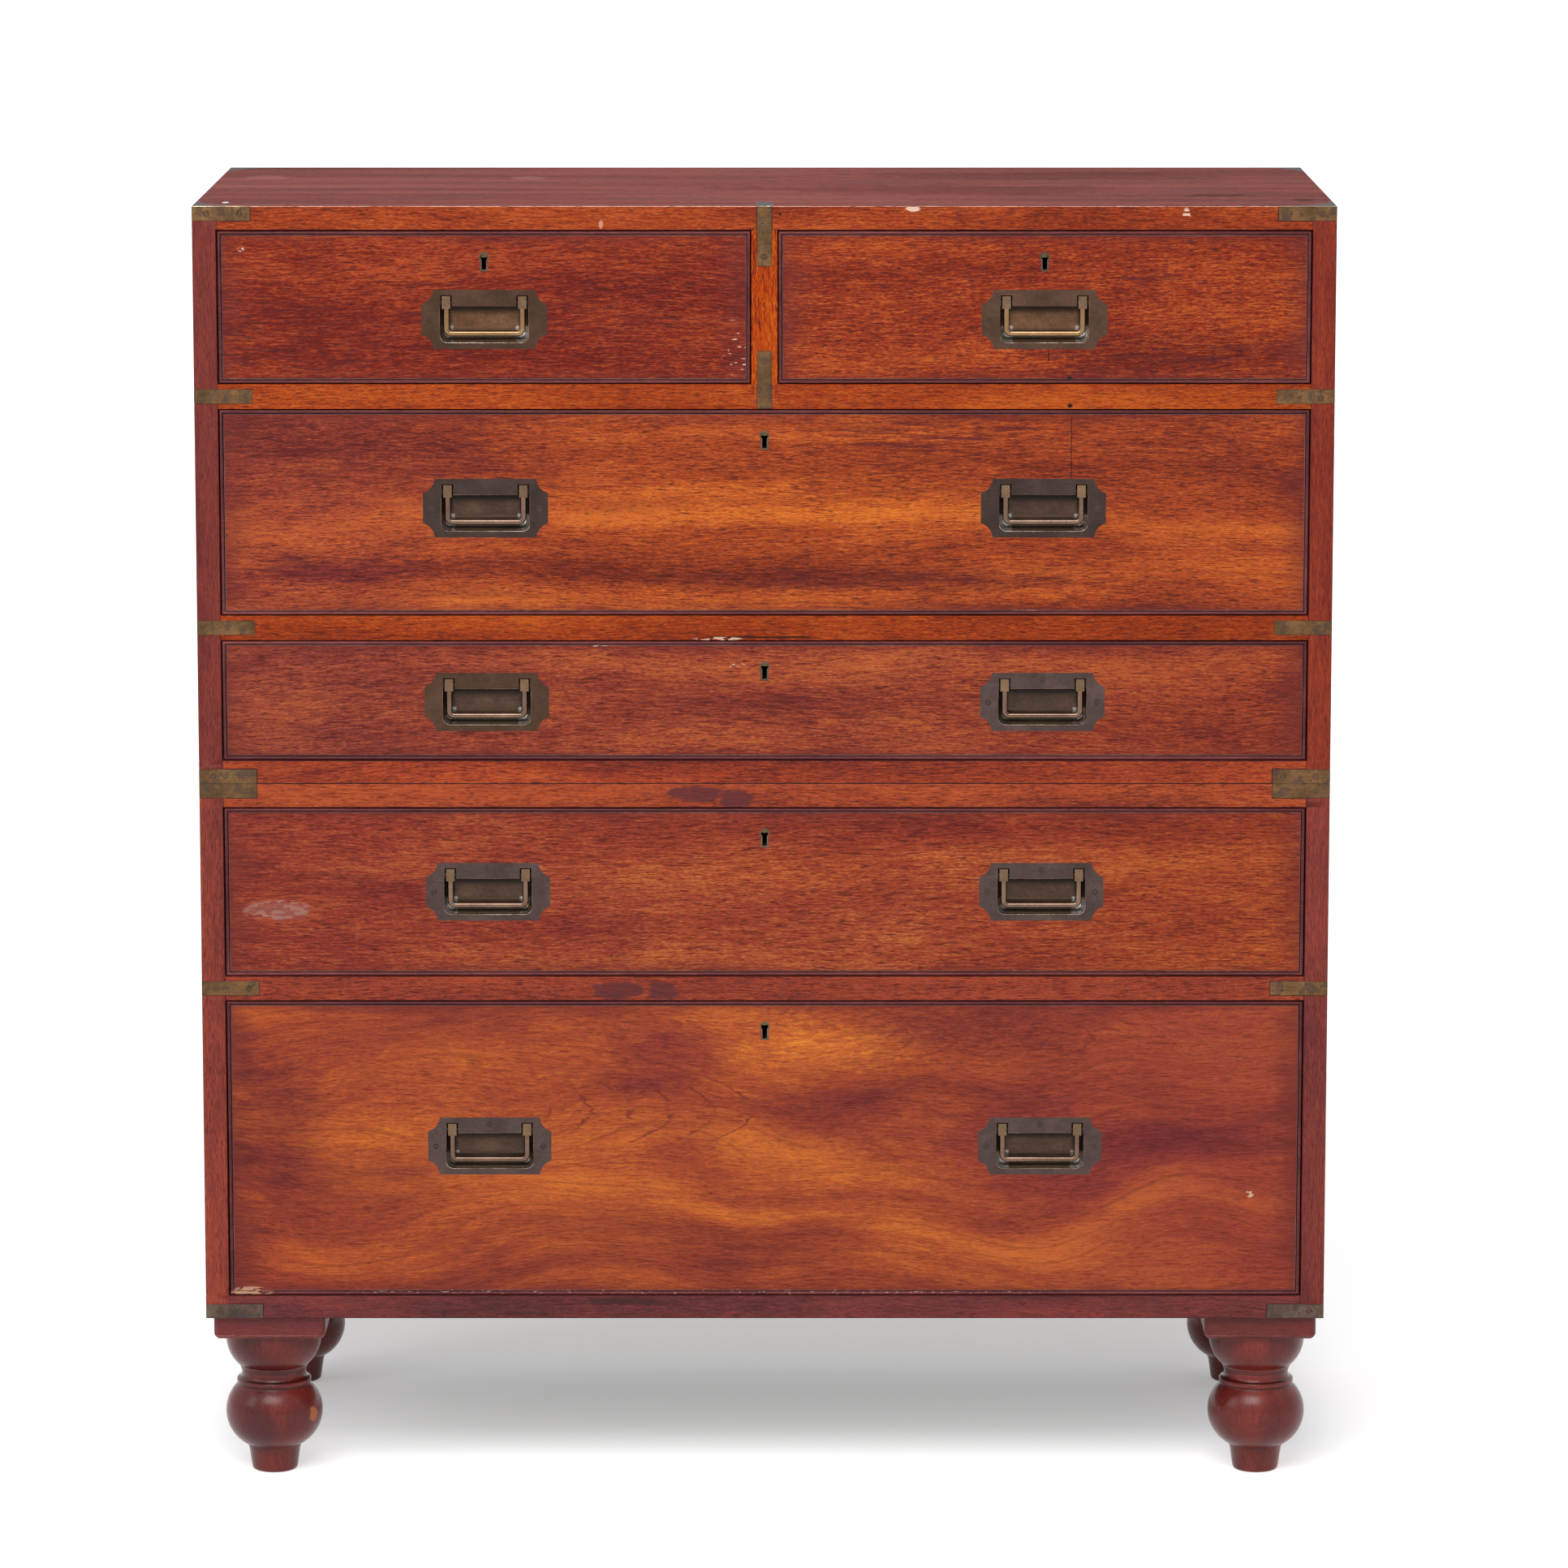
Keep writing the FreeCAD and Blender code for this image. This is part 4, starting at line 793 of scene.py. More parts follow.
# %% Boards of the two cases
ENDS = (-INNER, MEETING - INNER, INNER - MEETING, INNER)
BARE = ((0.050, 0.038, 0.030), (0.085, 0.066, 0.052), (0.130, 0.104, 0.082))
CASE_BOARDS = (  # the node, its wood, the width of the bevel, where it is cut across, and edges left sharp
    ("upper_top_board", case_wood("top_rail"), 1.4, ENDS, on_stile),
    ("upper_sides", case_wood("stile"), 0.6, (), on_stile),
    ("upper_bottom_board", case_wood("joint_up"), 0.9, ENDS, on_stile),
    ("upper_rails", rail_wood("rail"), 0.35, (-HALF_DIVIDER, HALF_DIVIDER), under_divider),
    ("lower_top_board", case_wood("joint_low"), 0.9, ENDS, on_stile),
    ("lower_sides", case_wood("low_stile"), 0.6, (), on_stile),
    ("lower_bottom_board", case_wood("bottom_rail"), 0.6, ENDS, on_stile),
    ("lower_rails", rail_wood("low_rail"), 0.35, (), None),
)
print("case boards:", len(CASE_BOARDS))


# %% [markdown]
# ## Plain inside wood
#
# Only what shows was made of the costly wood. Drawer boxes and the back boards are a pale, cheap timber
# that never saw polish, so it is matt, a little grey from dust, and lighter where it was planed last.


# %% Unpolished boards
def plain_board(name, tones, grain, seed, turned_behind=None):
    """Bare wood; behind the given place the grain turns to run across, as in the back board of a drawer."""
    wood = Finish(name, shine=0.2)
    run, across, deep = (wood.axes[n] for n in GRAIN[grain])
    if turned_behind:
        x, y, z = wood.axes
        turned = y.within((turned_behind - 0.1) * MM, turned_behind * MM)
        pairs = (run, x), (across, z), (deep, y)
        run, across, deep = (old + turned * (new - old) for old, new in pairs)
    waver = wood.noise(wood.vector(run * 3, across * 6, deep * 6), 1.0, 2.0, 0.5, seed)
    bent = across + (waver - 0.5) * 0.03
    rings = wood.noise(wood.vector(run * 1.2, bent * 60, deep * 60), 1.0, 3.0, 0.6, seed + 7)
    fibre = wood.noise(wood.vector(run * 30, bent * 700, deep * 700), 1.0, 2.0, 0.6, seed + 13)
    dust = wood.noise(wood.place(), 9.0, 4.0, 0.6, seed + 19)
    tone = 0.5 + (rings - 0.5) * 1.6 + (fibre - 0.5) * 0.7 + (dust - 0.5) * 0.6
    wood.colour = three_tones(wood, tone, *tones)
    wood.tint(dust.within(0.5, 0.75) * 0.35, (0.16, 0.13, 0.10))
    wood.wear(base_color=wood.colour, roughness=0.72 + (fibre - 0.5) * 0.3)
    wood.bump(fibre * 0.5 + rings * 0.2, 0.0004, 0.4)
    return wood.material


LINING = ((0.200, 0.110, 0.055), (0.330, 0.205, 0.110), (0.450, 0.300, 0.170))
PINE = ((0.130, 0.062, 0.028), (0.210, 0.110, 0.052), (0.290, 0.165, 0.085))
BACK_BOARD = 184.9  # where the back board of a drawer begins
lining = plain_board("drawer_lining", LINING, "Y", 5, turned_behind=BACK_BOARD)
for drawer in DRAWERS:
    finish_node(f"{drawer}_box", lining)
finish_node("upper_back", plain_board("upper_back_boards", PINE, "Z", 15))
finish_node("lower_back", plain_board("lower_back_boards", PINE, "Z", 25))
print("inside wood: 8 nodes")

# %% The case boards, now that the bare wood of their undersides exists
WOODS["bare"] = plain_board("bare_underside", BARE, "X", 29)
for node, choose, width, cuts, leave in CASE_BOARDS:
    made = dressed(node, node[:5] + "_case", "case_mahogany", choose, width, 2, cuts, leave)
    print(f"{made.name}: {len(made.data.polygons)} faces, {len(made.data.materials)} woods")
dressed("foot_blocks", "lower_case", "foot_mahogany", block_wood, 1.8, 3)

# %% [markdown]
# ## The cockbead
#
# A thin half-round strip frames each drawer and keeps its veneer or edge from chipping. Its nose stands a
# little proud and catches a grey line of light along its top, and the narrow groove behind it is painted
# nearly black, as painted shade. The strip is swept round the drawer front: one small cross-section with a
# rounded nose, placed at the four mitred corners and joined up, so that the mitres close by themselves.

# %% Sweep one cross-section round each drawer
BEAD_WIDTH, BEAD_DEPTH, BEAD_PROUD = 4.0, 8.0, 1.5
SIDE_GAP, TOP_GAP, BOTTOM_GAP = 1.0, 1.0, 0.8
QUIRK_FROM, QUIRK_TO, QUIRK_DEEP = 2.85, 3.4, 0.7
BEAD_LOOKS = {
    "nose": (((0.048, 0.008, 0.009), (0.112, 0.020, 0.021), (0.220, 0.052, 0.048)), 0.16, 0.32),
    # The quirk, the narrow groove behind the nose, is painted nearly black as painted shade.
    "shaded_quirk": (((0.008, 0.004, 0.004), (0.014, 0.007, 0.007), (0.030, 0.012, 0.012)), 0.05, 0.7),
    "fillet": (((0.060, 0.022, 0.024), (0.105, 0.046, 0.048), (0.220, 0.130, 0.130)), 0.3, 0.4),
}
BEAD_MARKS = [
    chips(-455, 174.5, 20, 4, (0.50, 0.27, 0.17), 300, 0.40), chips(-60, 175, 380, 3, (0.45, 0.30, 0.24), 700, 0.66),
]
BEADS = [
    mahogany(f"cockbead_{part}", [tones], "X", 171 + n, 0.5, marks=BEAD_MARKS, shine=shine, rough=rough)
    for n, (part, (tones, shine, rough)) in enumerate(BEAD_LOOKS.items())
]


def bead_section():
    """Points (in from the outer edge, depth), from the back of the outer edge over the nose to the fillet."""
    nose = QUIRK_FROM / 2
    points = [(0.0, BEAD_DEPTH), (0.0, 0.3)]
    for step in range(11):
        turn = math.pi * step / 10
        points.append((nose - nose * math.cos(turn), 0.2 - (BEAD_PROUD + 0.2) * math.sin(turn)))
    points += [(QUIRK_FROM, QUIRK_DEEP), (QUIRK_TO, QUIRK_DEEP), (QUIRK_TO, 0.02)]
    return points + [(BEAD_WIDTH, 0.02), (BEAD_WIDTH, BEAD_DEPTH)]


SECTION = bead_section()


def bead_frame(name, spread):
    """The four strips round one drawer front, in one closed ring."""
    left, right = spread["x"][0] + SIDE_GAP, spread["x"][1] - SIDE_GAP
    low, high = spread["z"][0] + BOTTOM_GAP, spread["z"][1] - TOP_GAP
    work = bmesh.new()
    rings = []
    corners = (left, low, 1, 1), (right, low, -1, 1), (right, high, -1, -1), (left, high, 1, -1)
    for x, z, inward_x, inward_z in corners:
        places = [(x + inward * inward_x, FACE + depth, z + inward * inward_z) for inward, depth in SECTION]
        rings.append([work.verts.new(Vector(place) * MM) for place in places])
    shaded_quirk, fillet = len(SECTION) - 5, len(SECTION) - 3
    for number, ring in enumerate(rings):
        following = rings[(number + 1) % 4]
        for k in range(len(ring)):
            after = (k + 1) % len(ring)
            face = work.faces.new((ring[k], ring[after], following[after], following[k]))
            face.material_index = 0 if k < shaded_quirk - 1 else (1 if k < fillet else 2)
    bmesh.ops.recalc_face_normals(work, faces=work.faces)
    return to_object(work, name, BEADS, 50)


for drawer, spread in DRAWERS.items():
    made = stand_in(bead_frame(f"{drawer}_bead", spread), drawer, "cockbead_mahogany", f"{drawer}_cockbead")
print("bead section points:", len(SECTION))

# %% [markdown]
# ## Brass that has not been polished for years
#
# Old brass is several colours at once. The flat faces go a brown bronze, with darker clouds where hands
# never reach and an olive cast where they do. The lower rim of each pan and the top edges of the straps
# are bright, rubbed and with a painted highlight; the sides of the rims and the rim under the ledge are
# painted dark as painted shade, and inside each pan painted shade and painted highlights stand for the
# light in the hollow. Metal has almost no colour of its own apart from its reflection, so the patina is
# drawn in two ways at once: it darkens the base colour and it makes the surface rougher.


# %% Aged brass
def brass(name, dark, middle, light, seed, rough=0.42, grime=0.4, clouds=1.2, metallic=0.8, patches=0.0, dish=None):
    """Tarnished metal; patches are dark spots, and dish is the height of a pan that gets painted shade and painted
    highlights.
    """
    metal = Finish(name, metallic=metallic)
    place = metal.place()
    x, y, z = metal.axes
    cloud = metal.noise(place, 38, 3.0, 0.55, seed)
    spots = metal.noise(place, 330, 3.0, 0.65, seed + 5)
    brushed = metal.noise(metal.vector(x * 90, y * 1400, z * 1400), 1.0, 2.0, 0.6, seed + 9)
    tone = 0.5 + (cloud - 0.5) * clouds + (spots - 0.5) * (0.5 * clouds) + (brushed - 0.5) * 0.5
    metal.colour = three_tones(metal, tone, dark, middle, light)
    dirt = spots.within(0.56, 0.72) * cloud.within(0.42, 0.66) * grime
    metal.tint(dirt, tuple(c * 0.3 for c in dark))
    if patches:
        tarnish = metal.noise(place, 110, 3.0, 0.6, seed + 15).within(0.53, 0.60) * patches
        tarnish = tarnish.highest(metal.noise(place, 900, 1.0, 0.5, seed + 25).within(0.66, 0.72) * patches)
        metal.tint(tarnish, (0.050, 0.034, 0.030))
    if dish:
        painted_pan_light_and_shade(metal, dish, cloud)
    metal.wear(base_color=metal.colour, roughness=rough + (cloud - 0.5) * 0.2 + dirt * 0.3)
    metal.bump(cloud * 0.3 + spots * 0.3 + brushed * 0.2 - dirt * 0.3, 0.00012, 0.4)
    return metal.material


def painted_pan_light_and_shade(metal, level, cloud):
    """Painted light in a pan: painted shade under its ledge and high at its sides, painted highlights low down and in
    its corners, and a grey painted reflection at its foot.
    """
    across = (metal.axes[0].size() - HANDLE * MM).size() / MM + (cloud - 0.5) * 4
    up = (metal.axes[2] - level * MM) / MM + (cloud - 0.5) * 3
    # Painted shade under the ledge and high at the sides; elsewhere the pan is painted 1.35 times brighter.
    under = up.within(2, 9) * 0.85 + up.within(-6, 4) * 0.12
    side = across.within(24, 32) * up.within(-6, 0) * 0.5
    metal.colour = metal.mix(under.highest(side), metal.colour * 1.35, metal.colour * 0.10)
    # Painted highlights low in the pan and in two spots at its corners, and a grey painted reflection on the slope at
    # its foot.
    foot = 1 - up.within(-9.0, -6.8)
    corner = across.within(26.5, 28.5) * (1 - up.within(-7.5, -5.5)) * cloud.within(0.35, 0.55)
    metal.tint(foot * 0.4, (0.240, 0.165, 0.105))
    metal.tint(corner * 0.75, (0.560, 0.540, 0.520))
    metal.tint((1 - up.within(-17.5, -14.0)) * 0.5, (0.170, 0.150, 0.120))


def tones_about(middle, spread=1.7):
    """A dark and a light tone on either side of the middle one."""
    return tuple(c / spread for c in middle), middle, tuple(min(1.0, c * spread) for c in middle)


LOCK = (0.200, 0.130, 0.050), (0.330, 0.220, 0.090), (0.450, 0.320, 0.150)
# The bright rim colour is rubbed brass with a painted highlight; the dark rim side colour is painted shade on the
# sides of a rim and under a ledge.
RIM = (0.200, 0.120, 0.070), (0.500, 0.370, 0.250), (0.850, 0.720, 0.560)
SHADED_RIM_SIDE = (0.060, 0.034, 0.020), (0.150, 0.086, 0.048), (0.420, 0.280, 0.160)
GRIME_AND_SHADE = (0.010, 0.007, 0.005), (0.020, 0.013, 0.010), (0.040, 0.026, 0.018)
BRASS = {
    **{
        f"plate_{tone}": brass(f"{tone}_plate_brass", *tones_about(middle, 1.5), seed, grime=0.15)
        for tone, middle, seed in (
            ("olive", (0.060, 0.030, 0.0175), 3), ("copper", (0.073, 0.038, 0.024), 8),
            ("dark", (0.042, 0.0255, 0.021), 13), ("grey", (0.066, 0.0415, 0.037), 18),
        )
    },
    "knuckle": brass("knuckle_brass", *tones_about((0.150, 0.090, 0.050), 1.5), 29, 0.35, 0.3),
    "bail_olive": brass("olive_bail_brass", *tones_about((0.220, 0.130, 0.066), 1.4), 33, 0.22, 0.3, metallic=1.0),
    "bail": brass("brown_bail_brass", *tones_about((0.145, 0.090, 0.064), 1.5), 37, 0.22, 0.4, metallic=1.0),
    "strap": brass("strap_brass", *tones_about((0.118, 0.060, 0.023)), 43, 0.46, 0.9, 1.6, patches=0.6),
    "strap_low": brass("low_strap_brass", *tones_about((0.092, 0.060, 0.046)), 53, 0.5, 0.9, 1.8, patches=0.6),
    "strap_top": brass("dark_strap_brass", *tones_about((0.030, 0.021, 0.019)), 58, 0.6, 0.5, 1.2, 0.3),
    "strap_edge": brass("strap_edge_brass", *tones_about((0.035, 0.020, 0.013), 2.0), 59, 0.5),
    "liner": brass("liner_brass", *tones_about((0.110, 0.072, 0.050)), 63),
    "lock": brass("lock_brass", *LOCK, 73),
    "rim": brass("rubbed_and_lit_rim_brass", *RIM, 83, 0.25, 0.3, 2.2),
    "shaded_rim_side": brass("shaded_rim_side_brass", *SHADED_RIM_SIDE, 86, 0.35, 0.3, 2.2),
    "screw_olive": brass("olive_screw_brass", *tones_about((0.052, 0.027, 0.016), 1.5), 93, 0.5, 0.6),
    "screw_dark": brass("dark_screw_brass", *tones_about((0.048, 0.030, 0.026), 1.5), 94, 0.5, 0.6),
    "screw_strap": brass("strap_screw_brass", *tones_about((0.085, 0.048, 0.026)), 95, 0.5, 0.8, 1.2),
    # Nearly black, for dirt and painted shade: in screw slots, in the joint line of the straps, and on the lock behind
    # the keyhole.
    "groove": brass("grime_and_shade_in_grooves", *GRIME_AND_SHADE, 97, 0.7, 0.2, 1.0, 0.1),
}
print("brasses:", len(BRASS))

# %% [markdown]
# ## Flush handles
#
# The handle is a casting let in level with the drawer: a plate with scooped corners, a dished pan behind
# it, and two slots where the knuckles of the bail turn. Sculpting the dish by hand would be slow, so it is
# cut: one closed shape for the plate and its pan, and a second for the hollow, made of rounded outlines
# that shrink towards the floor along a quarter of an ellipse. A boolean takes one from the other, and a
# bevel then puts a rim round the mouth: bright, rubbed and with a painted highlight along the bottom, and
# painted dark as painted shade at the sides and under the ledge.

# %% Small builders for closed shapes
def loop_of(work, points, y):
    return [work.verts.new(Vector((x, y, z)) * MM) for x, z in points]


def skin(work, loops, caps=True):
    """Joins loops of equal length into a closed skin."""
    for a, b in zip(loops, loops[1:]):
        for k in range(len(a)):
            after = (k + 1) % len(a)
            work.faces.new((a[k], a[after], b[after], b[k]))
    if caps:
        work.faces.new(loops[0])
        work.faces.new(list(reversed(loops[-1])))
    bmesh.ops.recalc_face_normals(work, faces=work.faces)


def arc(across, up, radius, start, end, steps):
    turns = [math.radians(start + (end - start) * n / steps) for n in range(steps + 1)]
    return [(across + radius * math.cos(t), up + radius * math.sin(t)) for t in turns]


def prism(name, outline, front, back):
    """A closed shape with one outline, from its front to its back."""
    work = bmesh.new()
    skin(work, [loop_of(work, outline, y) for y in (front, back)])
    return mesh_object(work, name)


def rectangle(left, right, low, high):
    return [(left, low), (right, low), (right, high), (left, high)]


def carve(base, tools, added=()):
    """Joins what is added to the base and takes the tools out of it; all are removed, and a bmesh is left."""
    for operation, others in (("UNION", added), ("DIFFERENCE", tools)):
        for other in others:
            change = base.modifiers.new(other.name, "BOOLEAN")
            change.operation, change.solver, change.object = operation, "EXACT", other
    bpy.context.view_layer.update()
    depsgraph = bpy.context.evaluated_depsgraph_get()
    carved = bmesh.new()
    carved.from_mesh(base.evaluated_get(depsgraph).to_mesh())
    for thing in (base, *added, *tools):
        bpy.data.objects.remove(thing)
    return carved


# %% The outline of the plate and the hollow of the pan
# Millimetres from the middle of the plate: half its size, the hollow corners, the mouth of the pan, the way
# the pan narrows, the bail and the notches for its knuckles, and the thickness of plate and pan.
PLATE_HALF, PLATE_HIGH = 54.5, 25.75
SCOOP_WIDTH, SCOOP_HEIGHT, SCOOP_CURVE = 10.3, 12.6, 14.5
MOUTH_HALF, MOUTH_LOW, LEDGE = 38.5, -20.15, 11.45
PAN_DEPTH, SIDE_INSET, LOW_INSET, NOTCH_OVERLAP = 11.5, 7.0, 9.0, 4.5
BAIL_SIDE, NOTCH_HALF, NOTCH_HIGH, NOTCH_DEPTH = 33.0, 4.9, 20.75, 10.0
PLATE_THICK, PAN_OUTSIDE, PAN_FRONT, PAN_BACK = 2.5, (-41, 41, -21, 22.5), 1.2, 13.5


def scooped_outline():
    """The plate's outline: each corner is a hollow arc between two cusps."""
    corner = []
    a = Vector((PLATE_HALF, PLATE_HIGH - SCOOP_HEIGHT))
    b = Vector((PLATE_HALF - SCOOP_WIDTH, PLATE_HIGH))
    middle, chord = (a + b) / 2, b - a
    away = Vector((-chord.y, chord.x)).normalized() * -1
    centre = middle + away * math.sqrt(SCOOP_CURVE ** 2 - (chord.length / 2) ** 2)
    start = math.atan2(a.y - centre.y, a.x - centre.x)
    end = math.atan2(b.y - centre.y, b.x - centre.x)
    sweep = (end - start + math.pi) % (2 * math.pi) - math.pi
    for step in range(9):
        turn = start + sweep * step / 8
        corner.append((centre.x + SCOOP_CURVE * math.cos(turn), centre.y + SCOOP_CURVE * math.sin(turn)))
    left_top = [(-x, z) for x, z in reversed(corner)]
    return corner + left_top + [(x, -z) for x, z in reversed(left_top)] + [(x, -z) for x, z in reversed(corner)]


def dish_outline(shrink):
    """The pan's outline: shrink goes from 0 at the mouth to 1 at the floor."""
    side, low = MOUTH_HALF - SIDE_INSET * shrink, MOUTH_LOW + LOW_INSET * shrink
    high = LEDGE - 0.6 * shrink
    low_curve, high_curve = 6.5 - 2.0 * shrink, 0.6 + 3.0 * shrink
    return (
        arc(-side + low_curve, low + low_curve, low_curve, 180, 270, 6)
        + arc(side - low_curve, low + low_curve, low_curve, 270, 360, 6)
        + arc(side - high_curve, high - high_curve, high_curve, 0, 90, 4)
        + arc(-side + high_curve, high - high_curve, high_curve, 90, 180, 4)
    )


def pan_hollow():
    work = bmesh.new()
    loops = [loop_of(work, dish_outline(0), FACE - 2)]
    for step in range(11):
        turn = math.radians(90 * step / 10)
        loops.append(loop_of(work, dish_outline(1 - math.cos(turn)), FACE + PAN_DEPTH * math.sin(turn)))
    skin(work, loops)
    return mesh_object(work, "pan_hollow")


def plate_master():
    """One casting at the middle of the chest, to be copied to its ten places."""
    plate = prism("plate_blank", scooped_outline(), FACE, FACE + PLATE_THICK)
    pan = prism("pan_blank", rectangle(*PAN_OUTSIDE), FACE + PAN_FRONT, FACE + PAN_BACK)
    notches = []
    for side in (-1, 1):
        x = BAIL_SIDE * side
        box = rectangle(x - NOTCH_HALF, x + NOTCH_HALF, LEDGE - NOTCH_OVERLAP, NOTCH_HIGH)
        notches.append(prism(f"notch_{side}", box, FACE - 2, FACE + NOTCH_DEPTH))
    return carve(plate, [pan_hollow(), *notches], added=[pan])


casting = plate_master()
bmesh.ops.remove_doubles(casting, verts=casting.verts, dist=2e-5)
bmesh.ops.dissolve_limit(casting, angle_limit=math.radians(0.5), verts=casting.verts, edges=casting.edges)
rim = [
    e for e in casting.edges
    if all(abs(v.co.y - FACE * MM) < 1e-5 for v in e.verts) and e.is_manifold and e.calc_face_angle(0) > 0.6
    and max(abs(v.co.x) for v in e.verts) < (MOUTH_HALF + 1) * MM
]
bmesh.ops.bevel(
    casting, geom=rim, offset=0.55 * MM, segments=2, profile=0.5, affect="EDGES", clamp_overlap=True, material=2
)
# The rim's bevel: along the bottom of the mouth bright, rubbed and with a painted highlight; at the sides and under
# the ledge dark, as painted shade.
for face in casting.faces:
    middle = face.calc_center_median() / MM
    if face.material_index == 2:
        low, side = middle.z < MOUTH_LOW + 5, abs(middle.x) > MOUTH_HALF - 1.5 and middle.z < LEDGE - 6
        under = abs(middle.z - LEDGE) < 1.5 and abs(middle.x) < 27
        face.material_index = 2 if low else 5 if side or under else 0
    elif FACE + 0.4 < middle.y < FACE + PAN_DEPTH + 0.2 and abs(middle.x) < MOUTH_HALF + 0.3:
        face.material_index = 1
print("casting:", len(casting.faces), "faces,", len(rim), "rim edges")

# %% [markdown]
# ## Screws
#
# The brass is held by slotted countersunk screws that were filed off level with the plate, so all that
# shows is a hair-thin ring and the slot. No two slots line up. One screw is modelled, with its slot cut
# into it, and then copied into whatever piece it holds, turned by a seeded random angle.

# %% One screw head, and how it is copied into another piece
SCREW_RADIUS, SLOT_REACH, SLOT_HALF, SLOT_DEPTH = 3.1, 4, 0.35, 0.55


def screw_master():
    work = bmesh.new()
    rings = [(SCREW_RADIUS - 0.7, 1.0), (SCREW_RADIUS, 0.12), (SCREW_RADIUS - 0.05, 0.02), (SCREW_RADIUS - 0.5, -0.03)]
    skin(work, [loop_of(work, arc(0, 0, r, 0, 345, 23), y) for r, y in rings])
    head = mesh_object(work, "screw_head")
    slot = rectangle(-SLOT_REACH, SLOT_REACH, -SLOT_HALF, SLOT_HALF)
    carved = carve(head, [prism("slot", slot, -1, SLOT_DEPTH)])
    for face in carved.faces:
        middle = face.calc_center_median() / MM
        ring = abs(math.hypot(middle.x, middle.z) - SCREW_RADIUS) < 0.2 and abs(face.normal.y) < 0.95
        # The fine ring and the inside of the slot take the nearly black groove colour: dirt and painted shade.
        face.material_index = 4 if ring or (middle.y > 0.1) else 3
    return as_mesh(carved, "screw_head")


screw = screw_master()
chance = random.Random(7)
print("screw faces:", len(screw.polygons))


def add_copy(work, mesh, shift, turn=None):
    """Adds a mesh to the work, moved, and turned about the front-to-back axis."""
    old = set(work.verts)
    work.from_mesh(mesh)
    new = [v for v in work.verts if v not in old]
    if turn is not None:
        bmesh.ops.rotate(work, verts=new, cent=(0, 0, 0), matrix=Matrix.Rotation(turn, 3, "Y"))
    bmesh.ops.translate(work, verts=new, vec=Vector(shift) * MM)


# %% Ten plates, each with three screws
casting_mesh = as_mesh(casting, "casting")
PLATE_SCREWS = [(0, 19.6), (-47.4, -0.4), (47.4, -0.4)]
PLATE_TONES = {
    ("short_drawer_left", "left"): "olive", ("short_drawer_right", "left"): "copper",
    ("shallow_drawer", "left"): "olive", ("deep_drawer", "left"): "dark", ("deep_drawer", "right"): "dark",
}
for drawer, side, several, x, z in handles():
    work = bmesh.new()
    add_copy(work, casting_mesh, (x, 0, z))
    for across, up in PLATE_SCREWS:
        add_copy(work, screw, (x + across, FACE, z + up), chance.uniform(0, math.pi))
    name = f"{drawer}_{side}_plate" if several else f"{drawer}_plate"
    plate, slots = f"plate_{PLATE_TONES.get((drawer, side), 'grey')}", "screw_dark" if several else "screw_olive"
    looks = [BRASS[look] for look in (plate, "groove", "rim", slots, "groove", "shaded_rim_side")]
    # Each pan gets painted shade under its ledge and painted highlights low in the dish.
    pan = (0.043, 0.024, 0.0155) if several else (0.088, 0.042, 0.020)
    looks[1] = brass(f"{name}_pan", *tones_about(pan, 1.9), 23 + z * 0.1, 0.28, 0.3, dish=z)
    stand_in(to_object(work, name, looks, 35), drawer, "handle_brass", f"{drawer}_handle_plate" + "s" * several)
print("plates: 10")

# %% [markdown]
# ## Bails
#
# The bail is a brass rod bent to a square U, with a block forged on each end. The rod is a circle carried
# along its path: straight down, round a tight bend, across, and up again. The knuckle is a block whose
# edges are rounded, and it turns on a short pin that runs into the plate.

# %% A rod along a path, and its two knuckles
ROD, DROP, BEND = 2.7, 27.0, 4.4
AXIS_UP, AXIS_DEEP = 14.75, 2.7
KNUCKLE, PIN_RADIUS, PIN_LENGTH = (7.5, 6.4, 10.9), 1.2, 13.4


def give_faces(verts, index):
    """Every face that touches these points takes the given material."""
    for face in {f for v in verts for f in v.link_faces}:
        face.material_index = index


